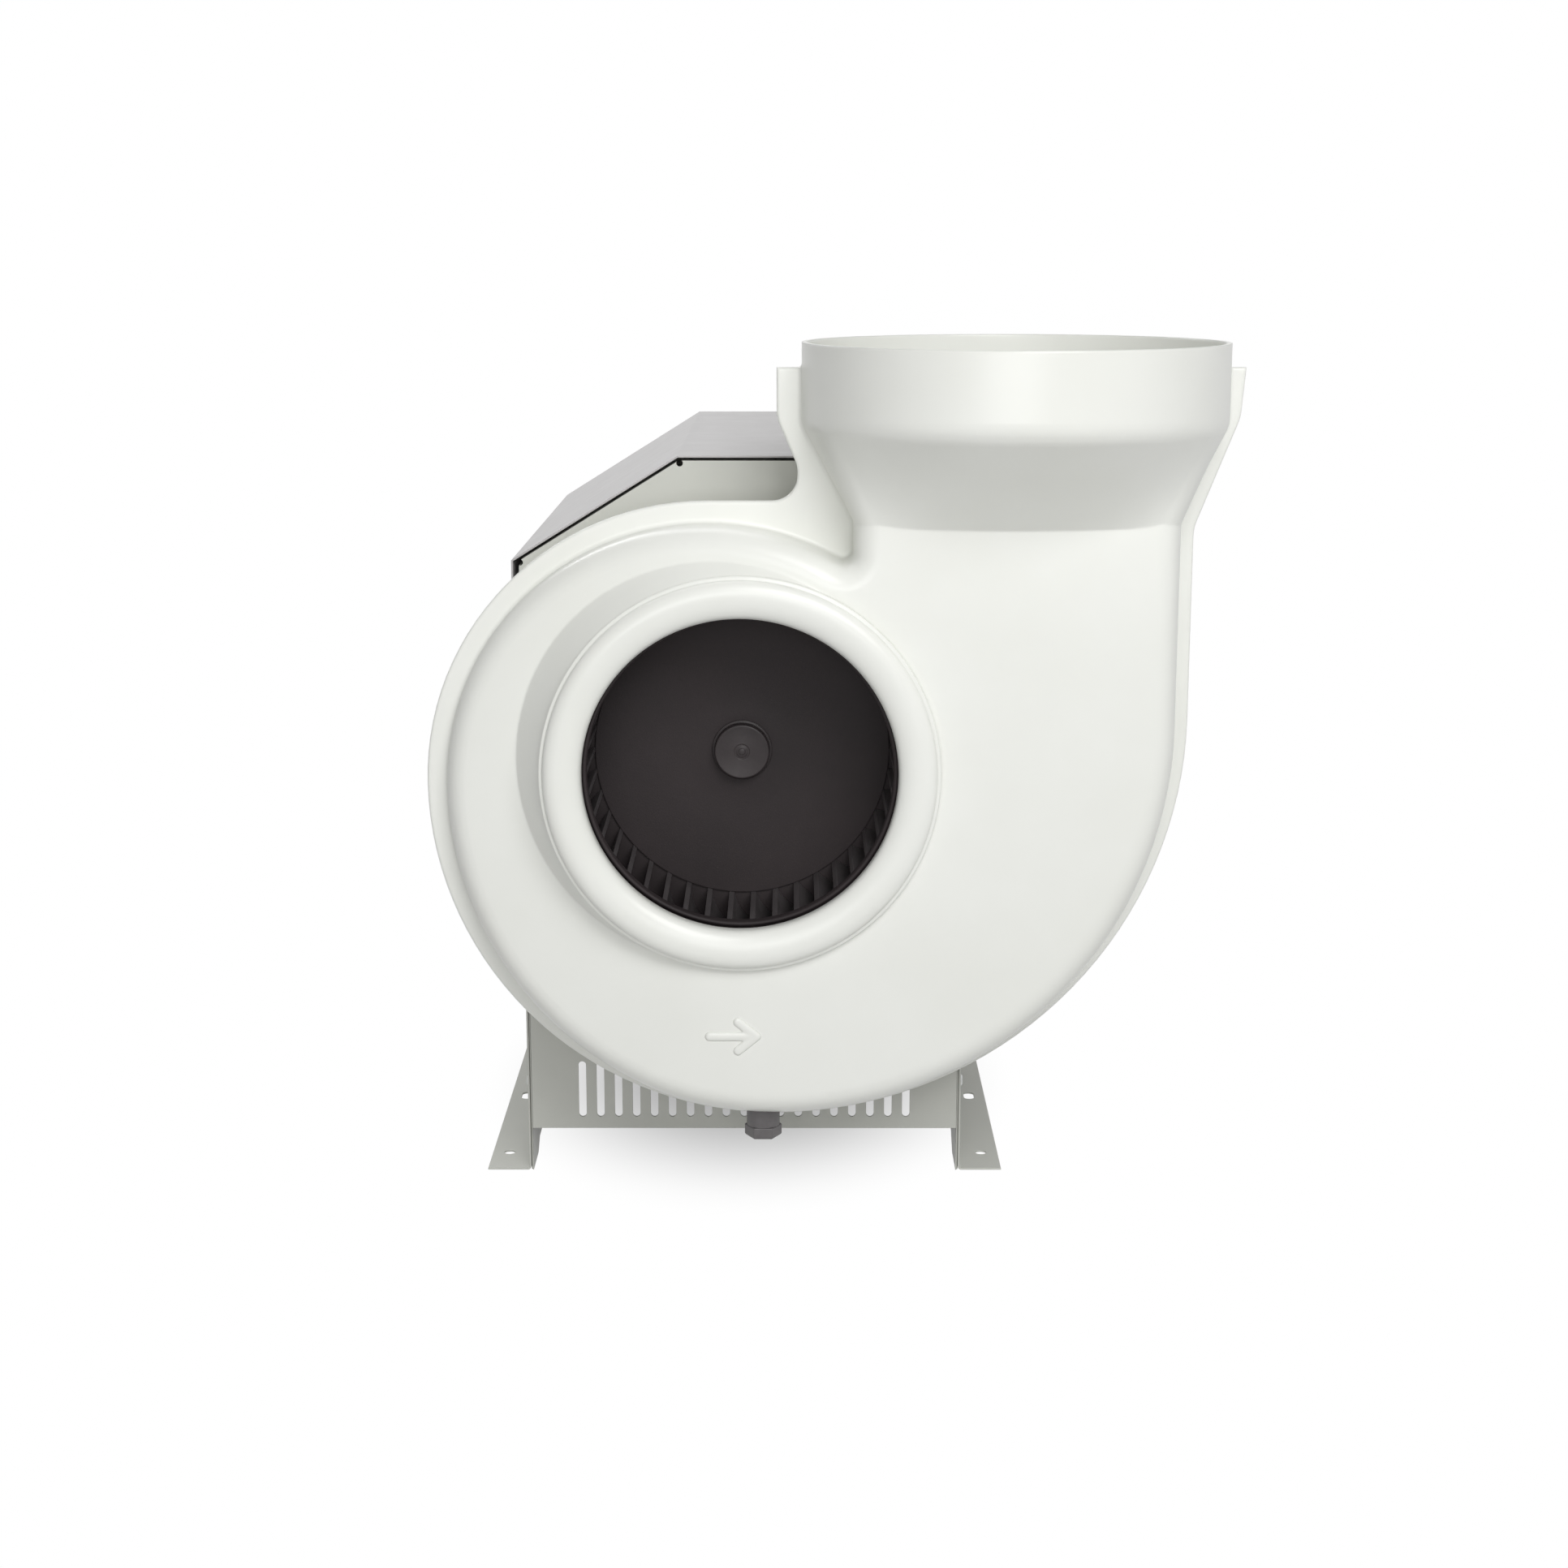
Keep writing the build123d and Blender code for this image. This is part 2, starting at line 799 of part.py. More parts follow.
with BuildPart() as rotor_core:
    core_front_y = core_mid_y - stator_length / 2
    core_rear_y = core_mid_y + stator_length / 2
    add(tube(core_front_y, core_rear_y, core_shaft_radius + fit, stator_bore_radius - air_gap))
save(rotor_core.part, "rotor_core")

with BuildPart() as stator_core:
    add(tube(core_front_y, core_rear_y, stator_bore_radius, motor_bore_radius - fit))
save(stator_core.part, "stator_core")

with BuildPart() as stator_windings:
    for y_from, y_to in (
        (core_front_y - winding_length, core_front_y),
        (core_rear_y, core_rear_y + winding_length),
    ):
        add(tube(y_from, y_to, winding_inner_radius, winding_outer_radius))
save(stator_windings.part, "stator_windings")

with BuildPart() as motor_body:
    add(tube(body_front_y, body_rear_y, motor_bore_radius, motor_tube_radius))
    with BuildSketch(facing(body_front_y)):
        with PolarLocations((motor_bore_radius + fin_radius) / 2, fin_count):
            Rectangle(fin_radius - motor_bore_radius, fin_thickness)
    extrude(amount=-motor_body_length)
    with Locations((0, core_mid_y, shaft_height + terminal_pad_height)):
        Box(
            terminal_pad_size,
            terminal_pad_size,
            terminal_pad_height - motor_bore_radius / 2,
            align=(Align.CENTER, Align.CENTER, Align.MAX),
        )
    with Locations(facing(core_mid_y)):
        Cylinder(motor_bore_radius, motor_body_length, mode=Mode.SUBTRACT)
save(motor_body.part, "motor_body")

with BuildPart() as motor_flange:
    add(
        turned(
            [
                (flange_seat_y - motor_spigot_height, bearing_seat_radius + shield_shaft_gap),
                (flange_seat_y - motor_spigot_height, motor_spigot_radius),
                (flange_seat_y, motor_spigot_radius),
                (flange_seat_y, motor_flange_radius),
                (flange_seat_y + motor_flange_thickness, motor_flange_radius),
                (flange_seat_y + motor_flange_thickness, shield_face_radius),
                (body_front_y - tie_bolt_engagement, shield_face_radius),
                (body_front_y - tie_bolt_engagement, fin_radius),
                (body_front_y, fin_radius),
                (body_front_y, motor_bore_radius),
                (front_bearing_y + bearing_width, bearing_outer_radius + 2 * shield_web),
                (front_bearing_y + bearing_width, bearing_bore_radius),
                (front_bearing_y, bearing_bore_radius),
                (front_bearing_y, bearing_seat_radius + shield_shaft_gap),
            ]
        )
    )
    with Locations(facing(flange_seat_y)):
        with PolarLocations(motor_bolt_circle_radius, motor_bolt_count, motor_bolt_start_angle):
            Cylinder(motor_bolt_hole_radius, 3 * motor_flange_thickness, mode=Mode.SUBTRACT)
    with Locations(facing(body_front_y)):
        with PolarLocations(tie_bolt_circle_radius, tie_bolt_count, motor_bolt_start_angle):
            Cylinder(tie_bolt_radius + fit, 2 * tie_bolt_engagement - fit, mode=Mode.SUBTRACT)
save(motor_flange.part, "motor_flange")

rear_seat_y = body_rear_y + rear_shield_seat

with BuildPart() as motor_rear_shield:
    add(
        turned(
            [
                (body_rear_y, motor_bore_radius),
                (body_rear_y, fin_radius),
                (rear_seat_y, fin_radius),
                (rear_shield_end_y, rear_shield_cone_radius),
                (rear_shield_end_y, bearing_seat_radius + shield_shaft_gap),
                (rear_bearing_y + bearing_width, bearing_seat_radius + shield_shaft_gap),
                (rear_bearing_y + bearing_width, bearing_bore_radius),
                (rear_bearing_y, bearing_bore_radius),
                (rear_bearing_y, bearing_outer_radius + 2 * shield_web),
            ]
        )
    )
    with Locations(facing(body_rear_y)):
        with PolarLocations(tie_bolt_circle_radius, tie_bolt_count, motor_bolt_start_angle):
            Cylinder(tie_bolt_radius + fit, 4 * rear_shield_length, mode=Mode.SUBTRACT)
            with Locations((0, 0, -tie_bolt_engagement)):
                Cylinder(
                    tie_bolt_head_radius + fit,
                    4 * rear_shield_length,
                    align=(Align.CENTER, Align.CENTER, Align.MAX),
                    mode=Mode.SUBTRACT,
                )
save(motor_rear_shield.part, "motor_rear_shield")

tie_head_y = body_rear_y + tie_bolt_engagement

with BuildPart() as motor_tie_bolts:
    with Locations(facing(tie_head_y)):
        with PolarLocations(tie_bolt_circle_radius, tie_bolt_count, motor_bolt_start_angle):
            Cylinder(
                tie_bolt_radius,
                motor_body_length + 2 * tie_bolt_engagement - fin_thickness,
                align=(Align.CENTER, Align.CENTER, Align.MIN),
            )
            Cylinder(
                tie_bolt_head_radius,
                tie_bolt_head_height,
                align=(Align.CENTER, Align.CENTER, Align.MAX),
            )
save(motor_tie_bolts.part, "motor_tie_bolts")

# Cooling fan and its cowl

with BuildPart() as cooling_fan:
    add(tube(fan_y, fan_y + fan_width, fan_shaft_radius + fit, fan_hub_radius))
    add(tube(fan_y, fan_y + fan_disc_thickness, fan_hub_radius, fan_radius))
    with BuildSketch(facing(fan_y)):
        with PolarLocations((fan_hub_radius + fan_radius) / 2, fan_blade_count):
            Rectangle(fan_radius - fan_hub_radius + fan_blade_thickness, fan_blade_thickness)
    extrude(amount=-fan_width)
    with Locations(facing(fan_y)):
        Cylinder(fan_shaft_radius + fit, 4 * fan_width, mode=Mode.SUBTRACT)
save(cooling_fan.part, "cooling_fan")

cowl_front_y = rear_seat_y - cowl_overlap
cowl_rear_y = cowl_front_y + cowl_length

with BuildPart() as cowl_space:
    add(tube(cowl_front_y, cowl_rear_y - cowl_sheet, 0, fin_radius + fit))
    fillet(cowl_space.edges().group_by(Axis.Y)[-1], cowl_corner_radius - cowl_sheet)

with BuildPart() as fan_cowl:
    add(tube(cowl_front_y, cowl_rear_y, 0, fin_radius + fit + cowl_sheet))
    fillet(fan_cowl.edges().group_by(Axis.Y)[-1], cowl_corner_radius)
    add(cowl_space.part, mode=Mode.SUBTRACT)
    with BuildSketch(facing(cowl_rear_y)):
        with PolarLocations(cowl_slot_radius, cowl_slot_count):
            SlotOverall(cowl_slot_length, cowl_slot_width)
    extrude(amount=2 * cowl_sheet, both=True, mode=Mode.SUBTRACT)
save(fan_cowl.part, "fan_cowl")

# Terminal box on the motor, with lid, screws and cable gland

box_base = shaft_height + terminal_pad_height
box_top = box_base + box_height
lid_top = box_top + box_lid_height
box_screw_grid = (box_width - 2 * box_screw_inset, box_length - 2 * box_screw_inset)
gland_mouth = Plane(
    origin=(box_width / 2, core_mid_y, box_base + box_height / 2), z_dir=(1, 0, 0)
)

with BuildPart() as terminal_box:
    with BuildSketch(Plane.XY.offset(box_base)):
        with Locations((0, core_mid_y)):
            RectangleRounded(box_width, box_length, box_corner_radius)
    extrude(amount=box_height)
    with BuildSketch(Plane.XY.offset(box_base + box_wall)):
        with Locations((0, core_mid_y)):
            RectangleRounded(
                box_width - 2 * box_wall, box_length - 2 * box_wall, box_corner_radius - box_wall
            )
    extrude(amount=box_height, mode=Mode.SUBTRACT)
    with BuildSketch(Plane.XY.offset(box_base)):
        with Locations((0, core_mid_y)):
            with GridLocations(*box_screw_grid, 2, 2):
                Circle(box_screw_radius + box_wall)
    extrude(amount=box_height)
    with Locations((0, core_mid_y, box_top)):
        with GridLocations(*box_screw_grid, 2, 2):
            Cylinder(box_screw_radius + fit, box_height, mode=Mode.SUBTRACT)
    with Locations(gland_mouth):
        Cylinder(gland_radius + fit, 4 * box_wall, mode=Mode.SUBTRACT)
save(terminal_box.part, "terminal_box")

with BuildPart() as terminal_box_lid:
    with BuildSketch(Plane.XY.offset(box_top)):
        with Locations((0, core_mid_y)):
            RectangleRounded(box_width, box_length, box_corner_radius)
    extrude(amount=box_lid_height)
    fillet(terminal_box_lid.faces().sort_by(Axis.Z)[-1].edges(), box_wall)
    with BuildSketch(Plane.XY.offset(box_top)):
        with Locations((0, core_mid_y)):
            RectangleRounded(
                box_width - 4 * box_screw_inset,
                box_length - 4 * box_screw_inset,
                box_corner_radius,
            )
    extrude(amount=box_lid_height - box_wall, mode=Mode.SUBTRACT)
    with Locations((0, core_mid_y, lid_top)):
        with GridLocations(*box_screw_grid, 2, 2):
            CounterBoreHole(
                box_screw_radius + fit,
                box_screw_head_radius + fit,
                box_screw_head_height,
                depth=box_lid_height,
            )
save(terminal_box_lid.part, "terminal_box_lid")

with BuildPart() as terminal_box_screws:
    with Locations((0, core_mid_y, lid_top - box_screw_head_height)):
        with GridLocations(*box_screw_grid, 2, 2):
            Cylinder(
                box_screw_head_radius,
                box_screw_head_height,
                align=(Align.CENTER, Align.CENTER, Align.MIN),
            )
            Cylinder(
                box_screw_radius,
                box_lid_height - box_screw_head_height + box_height / 2 - fit,
                align=(Align.CENTER, Align.CENTER, Align.MAX),
            )
save(terminal_box_screws.part, "terminal_box_screws")

with BuildPart() as cable_gland:
    with BuildSketch(gland_mouth):
        RegularPolygon(gland_nut_radius, 6)
    extrude(amount=gland_nut_length)
    with Locations(gland_mouth):
        Cylinder(gland_radius, 3 * box_wall)
    with BuildSketch(gland_mouth.offset(gland_nut_length)):
        Circle(gland_radius + box_wall / 2)
    extrude(amount=gland_dome_length)
    fillet(cable_gland.edges().group_by(Axis.X)[-1], box_wall)
    with Locations(gland_mouth):
        Cylinder(gland_bore_radius, 4 * gland_dome_length, mode=Mode.SUBTRACT)
save(cable_gland.part, "cable_gland")

# Stand: front and rear panel, side plates with feet, rain hood


def roof_outline(y, inset, bottom, half_width):
    """The five-sided roof section, drawn inside the hood's outline by inset."""
    side = hood_half_width
    top = hood_top_half_width
    eave = hood_eave - shaft_height
    ridge = hood_ridge - shaft_height
    deep = -2 * shaft_height
    with BuildSketch(facing(y)) as outline:
        with BuildLine():
            Polyline(
                (-side, deep), (side, deep), (side, eave), (top, ridge), (-top, ridge),
                (-side, eave), close=True,
            )
        make_face()
        offset(amount=-inset, kind=Kind.INTERSECTION)
        height = ridge - bottom + shaft_height
        with Locations((0, bottom - shaft_height)):
            Rectangle(
                2 * half_width,
                height,
                align=(Align.CENTER, Align.MIN),
                mode=Mode.INTERSECT,
            )
    return outline.sketch


def sideways(x, places):
    """Planes that look along +X at the given (y, height) places."""
    return [Plane(origin=(x, y, height), z_dir=(1, 0, 0)) for y, height in places]


side_screw_places = [
    (sign * (stand_rear - side_screw_setback), height)
    for sign in (-1, 1)
    for height in side_screw_heights
]
hood_screw_places = [
    (sign * (stand_rear - hood_screw_setback), hood_skirt + hood_screw_rise)
    for sign in (-1, 1)
]


def stand_panel():
    """One folded panel: sheet, roof returns, and side returns that run down as the legs."""
    inset = hood_sheet + hood_gap
    inner = stand_half_width - sheet
    with BuildPart() as panel:
        extrude(
            roof_outline(stand_front, inset, hood_eave, stand_half_width), amount=-top_return
        )
        extrude(
            roof_outline(stand_front, inset + sheet, hood_skirt, inner),
            amount=-2 * top_return,
            mode=Mode.SUBTRACT,
        )
        extrude(
            roof_outline(stand_front, inset, panel_bottom, stand_half_width), amount=-sheet
        )
        for edge_x in (-stand_half_width, inner):
            side = Plane(origin=(edge_x, stand_front, 0), x_dir=(0, 1, 0), z_dir=(1, 0, 0))
            with BuildSketch(side):
                with BuildLine():
                    Polyline(
                        (0, 0),
                        (leg_depth_at_floor, 0),
                        (panel_return, panel_bottom),
                        (panel_return, hood_skirt),
                        (top_return, hood_eave),
                        (0, hood_eave),
                        close=True,
                    )
                make_face()
            extrude(amount=sheet)
        with Locations(facing(stand_front)):
            with Locations(
                *(
                    (sign * x, z - shaft_height)
                    for sign in (-1, 1)
                    for x, z in (
                        (hood_top_half_width - inset / 2, hood_ridge - inset - sheet),
                        (stand_half_width - sheet / 2, hood_eave - inset / 2),
                    )
                )
            ):
                Cylinder(panel_relief_radius, 4 * top_return, mode=Mode.SUBTRACT)
        with BuildSketch(facing(stand_front)):
            with Locations((0, vent_bottom + vent_length / 2 - shaft_height)):
                with GridLocations(vent_pitch, 0, vent_count, 1):
                    SlotOverall(vent_length, vent_width, rotation=90)
        extrude(amount=2 * sheet, both=True, mode=Mode.SUBTRACT)
        with Locations(*sideways(0, side_screw_places + hood_screw_places)):
            Cylinder(
                side_screw_radius + screw_clearance,
                3 * stand_half_width,
                mode=Mode.SUBTRACT,
            )
    return panel.part


panel_form = stand_panel()

with BuildPart() as front_panel:
    add(panel_form)
    with Locations(facing(stand_front)):
        Cylinder(motor_spigot_radius + spigot_clearance, 3 * sheet, mode=Mode.SUBTRACT)
        with PolarLocations(motor_bolt_circle_radius, motor_bolt_count, motor_bolt_start_angle):
            Cylinder(motor_bolt_radius + bolt_clearance, 3 * sheet, mode=Mode.SUBTRACT)
        with PolarLocations(pad_bolt_circle_radius, pad_bolt_count):
            Cylinder(pad_bolt_radius + bolt_clearance, 3 * sheet, mode=Mode.SUBTRACT)
save(front_panel.part, "front_panel")

with BuildPart() as rear_panel:
    add(mirror(panel_form, about=Plane.XZ))
save(rear_panel.part, "rear_panel")

with BuildPart() as right_side_plate:
    inner_x = stand_half_width
    outer_x = inner_x + plate_sheet
    with BuildSketch(Plane.XZ.offset(-stand_rear)):
        with BuildLine():
            Polyline(
                (inner_x, 0),
                (foot_x, 0),
                (foot_x, plate_sheet),
                (outer_x, plate_sheet),
                (outer_x, plate_top),
                (inner_x, plate_top),
                close=True,
            )
        make_face()
        fillet(vertices().sort_by_distance((inner_x, 0))[0], plate_bend_radius)
        fillet(
            vertices().sort_by_distance((outer_x, plate_sheet))[0],
            plate_bend_radius - plate_sheet,
        )
    extrude(amount=stand_depth)
    with Locations((foot_hole_x, 0, 0)):
        with GridLocations(0, stand_depth - 2 * foot_hole_setback, 1, 2):
            Cylinder(foot_hole_radius, 4 * plate_sheet, mode=Mode.SUBTRACT)
    with BuildSketch(Plane.XY):
        with Locations((foot_hole_x, 0)):
            with GridLocations(0, stand_depth - 2 * foot_slot_setback, 1, 2):
                SlotOverall(foot_slot_length, 2 * foot_hole_radius, rotation=90)
    extrude(amount=2 * plate_sheet, mode=Mode.SUBTRACT)
    with Locations(*sideways(inner_x, side_screw_places)):
        Cylinder(side_screw_radius + screw_clearance, 4 * plate_sheet, mode=Mode.SUBTRACT)
    with Locations(*sideways(inner_x, hood_screw_places)):
        Cylinder(hood_screw_radius + screw_clearance, 4 * plate_sheet, mode=Mode.SUBTRACT)
save(right_side_plate.part, "right_side_plate")

with BuildPart() as left_side_plate:
    add(mirror(right_side_plate.part, about=Plane.YZ))
save(left_side_plate.part, "left_side_plate")

with BuildPart() as motor_hood:
    extrude(roof_outline(stand_front, 0, hood_skirt, hood_half_width), amount=-stand_depth)
    extrude(
        roof_outline(stand_front, hood_sheet, 0, hood_half_width),
        amount=-stand_depth,
        mode=Mode.SUBTRACT,
    )
    with Locations(*sideways(0, hood_screw_places)):
        Cylinder(
            hood_screw_radius + screw_clearance, 3 * hood_half_width, mode=Mode.SUBTRACT
        )
save(motor_hood.part, "motor_hood")

# Fasteners of the stand, the casing and the motor


def both_sides(part):
    """The part and its mirror image on the other side of the stand."""
    with BuildPart() as pair:
        add(part)
        mirror(about=Plane.YZ)
    return pair.part


hood_inner_x = hood_half_width - hood_sheet

with BuildPart() as right_spacers:
    with Locations(*sideways(outer_x, hood_screw_places)):
        Cylinder(
            hood_spacer_radius,
            hood_inner_x - outer_x,
            align=(Align.CENTER, Align.CENTER, Align.MIN),
        )
        Cylinder(hood_screw_radius + screw_clearance, 4 * plate_sheet, mode=Mode.SUBTRACT)
save(both_sides(right_spacers.part), "hood_spacers")

with BuildPart() as right_hood_screws:
    with Locations(*sideways(hood_half_width, hood_screw_places)):
        Cylinder(
            hood_screw_head_radius,
            hood_screw_head_height,
            align=(Align.CENTER, Align.CENTER, Align.MIN),
        )
        Cylinder(
            hood_screw_radius,
            hood_half_width - inner_x + 2 * plate_sheet,
            align=(Align.CENTER, Align.CENTER, Align.MAX),
        )
    chamfer(right_hood_screws.edges().group_by(Axis.X)[-1], hood_screw_head_height / 2)
save(both_sides(right_hood_screws.part), "hood_screws")

with BuildPart() as right_side_screws:
    with Locations(*sideways(outer_x, side_screw_places)):
        Cylinder(
            hood_screw_head_radius,
            hood_screw_head_height,
            align=(Align.CENTER, Align.CENTER, Align.MIN),
        )
        Cylinder(
            side_screw_radius,
            side_screw_length,
            align=(Align.CENTER, Align.CENTER, Align.MAX),
        )
    chamfer(right_side_screws.edges().group_by(Axis.X)[-1], hood_screw_head_height / 2)
save(both_sides(right_side_screws.part), "side_screws")

panel_rear_y = stand_front + sheet

with BuildPart() as casing_screws:
    with Locations(facing(panel_rear_y)):
        with PolarLocations(pad_bolt_circle_radius, pad_bolt_count):
            Cylinder(
                pad_bolt_radius - screw_clearance,
                sheet + pad_bolt_depth - fit,
                align=(Align.CENTER, Align.CENTER, Align.MIN),
            )
    with BuildSketch(facing(panel_rear_y)):
        with PolarLocations(pad_bolt_circle_radius, pad_bolt_count):
            RegularPolygon(pad_bolt_head_radius, 6)
    extrude(amount=-pad_bolt_head_height)
save(casing_screws.part, "casing_screws")

motor_bolt_y = flange_seat_y + motor_flange_thickness

with BuildPart() as motor_bolts:
    with Locations(facing(motor_bolt_y)):
        with PolarLocations(motor_bolt_circle_radius, motor_bolt_count, motor_bolt_start_angle):
            Cylinder(
                motor_bolt_radius,
                motor_flange_thickness + sheet + motor_bolt_head_height,
                align=(Align.CENTER, Align.CENTER, Align.MIN),
            )
    with BuildSketch(facing(motor_bolt_y)):
        with PolarLocations(motor_bolt_circle_radius, motor_bolt_count, motor_bolt_start_angle):
            RegularPolygon(motor_bolt_head_radius, 6)
    extrude(amount=-motor_bolt_head_height)
save(motor_bolts.part, "motor_bolts")

with BuildPart() as motor_nuts:
    with BuildSketch(facing(stand_front)):
        with PolarLocations(motor_bolt_circle_radius, motor_bolt_count, motor_bolt_start_angle):
            RegularPolygon(motor_bolt_head_radius, 6)
            Circle(motor_bolt_radius + fit, mode=Mode.SUBTRACT)
    extrude(amount=motor_bolt_head_height)
save(motor_nuts.part, "motor_nuts")
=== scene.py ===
"""Looks of the centrifugal plastic blower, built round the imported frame. Metres, +Z up."""

import json
import math

import bmesh
import bpy
from mathutils import Matrix, Vector


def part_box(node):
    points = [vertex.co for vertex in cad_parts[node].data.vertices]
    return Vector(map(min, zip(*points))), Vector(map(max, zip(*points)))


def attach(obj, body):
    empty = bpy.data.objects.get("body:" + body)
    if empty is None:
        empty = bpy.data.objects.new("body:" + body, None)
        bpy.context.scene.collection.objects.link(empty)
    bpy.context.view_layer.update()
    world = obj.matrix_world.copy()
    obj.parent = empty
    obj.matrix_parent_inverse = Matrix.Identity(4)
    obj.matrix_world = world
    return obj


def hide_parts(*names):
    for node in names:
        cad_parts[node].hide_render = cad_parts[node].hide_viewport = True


MM = 0.001

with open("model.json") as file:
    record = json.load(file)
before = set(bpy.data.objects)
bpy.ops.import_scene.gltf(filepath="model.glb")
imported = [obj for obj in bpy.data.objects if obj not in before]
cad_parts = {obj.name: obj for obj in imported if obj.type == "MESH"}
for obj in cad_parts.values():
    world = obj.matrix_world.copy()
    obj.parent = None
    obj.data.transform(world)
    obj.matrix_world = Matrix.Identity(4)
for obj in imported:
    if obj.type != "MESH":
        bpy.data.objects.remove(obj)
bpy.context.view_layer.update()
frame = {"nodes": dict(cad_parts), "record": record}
nodes = frame["nodes"]

# Places taken from the frame: the shaft's height in metres, and millimetres along the shaft
ring_low, ring_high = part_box("inlet_ring")
disc_low, disc_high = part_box("impeller_back_disc")
front_ring_low, front_ring_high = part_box("impeller_front_ring")
shaft_height = (ring_low.z + ring_high.z) / 2
inlet = ring_low.y / MM
ring_back = ring_high.y / MM
disc_front = disc_low.y / MM
disc_back = disc_high.y / MM
eye_front = front_ring_low.y / MM
eye_back = front_ring_high.y / MM
cap_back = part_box("hub_cap")[1].y / MM

# Inlet ring, millimetres
neck_radius = 117.0
neck_length = 10.0
crest_radius = 135.0
lip_radius = 145.4
lip_depth = 7.0
groove_width = 0.8
groove_depth = 0.2
bead_radius = 1.3
bead_gap = 0.6
ring_radius = 148.4
collar_depth = 12.0
plug_radius = 124.8

# Impeller back disc, millimetres
wheel_radius = 140.0
eye_radius = 114.0
disc_bore = 18.05
disc_step = 2.0
disc_edge = 0.5
disc_flat_margin = 1.2
disc_chamfer = 0.6
dish_depth = 0.25
dish_inner_slope = (30.0, 32.5)
dish_outer_slope = (48.0, 52.0)

# Impeller front ring, millimetres
eye_bead_depth = 2.4
eye_bead_half_width = 2.0
channel_depth = 2.6
channel_inner_margin = 5.2
channel_outer_margin = 5.0
rim_edge = 2.6

# Hub cap, millimetres
cap_skirt = 23.3
cap_radius = 21.4
cap_rise = 10.0
cap_wall = 2.5
cap_edge = 1.6
skirt_height = 1.4
skirt_shoulder = 2.0
skirt_slope = 0.8
dome_drop = 0.35
dome_margin = 1.2
crown_drop = 0.1
boss_groove_depth = 0.5
boss_groove_radii = (6.2, 5.6, 4.6)
boss_radius = 3.5
boss_rise = 0.1
pip_rise = 0.7
pip_margin = 0.6

# Turning arrow on the casing's face, millimetres out from the shaft and behind the inlet
arrow_tail = (-23.5, -201.2)
arrow_tip = (11.7, -201.2)
arrow_barbs = ((-2.2, -189.9), (-2.2, -212.5))
arrow_stroke = 3.7
arrow_relief = 1.5
arrow_voxel = 0.45
casing_face_depth = 14.0

# Rounded edges, millimetres
fold_radius = 2.6
fold_segments = 4
sheet_edge = 0.35
vane_edge = 0.45
socket_edge = 0.5
drain_cap_edge = 0.7
edge_segments = 2

# How meshes are joined and shaded: millimetres, and angles in degrees
weld_gap = 0.01
flat_angle = 0.4
sharp_angle = 35
crease_angle = 32
turn_steps = 180
cap_turn_steps = 96


# Materials


def linear(hex_colour):
    """An sRGB hex value as a linear colour."""
    values = [int(hex_colour[i : i + 2], 16) / 255 for i in (1, 3, 5)]
    return [*(v / 12.92 if v <= 0.04045 else ((v + 0.055) / 1.055) ** 2.4 for v in values), 1]


def add_node(material, kind, settings=None, links=None):
    """Adds one node, sets its properties and sockets, and joins its inputs to (node, output) pairs."""
    node = material.node_tree.nodes.new(kind)
    for name, value in (settings or {}).items():
        if isinstance(name, int) or name in node.inputs:
            node.inputs[name].default_value = value
        else:
            setattr(node, name, value)
    for name, (source, output) in (links or {}).items():
        material.node_tree.links.new(source.outputs[output], node.inputs[name])
    return node


def new_material(name):
    """A material with no nodes yet."""
    material = bpy.data.materials.new(name)
    material.use_nodes = True
    material.node_tree.nodes.clear()
    return material


# The wave texture turns through this many radians for each unit of length
wave_turns = 20


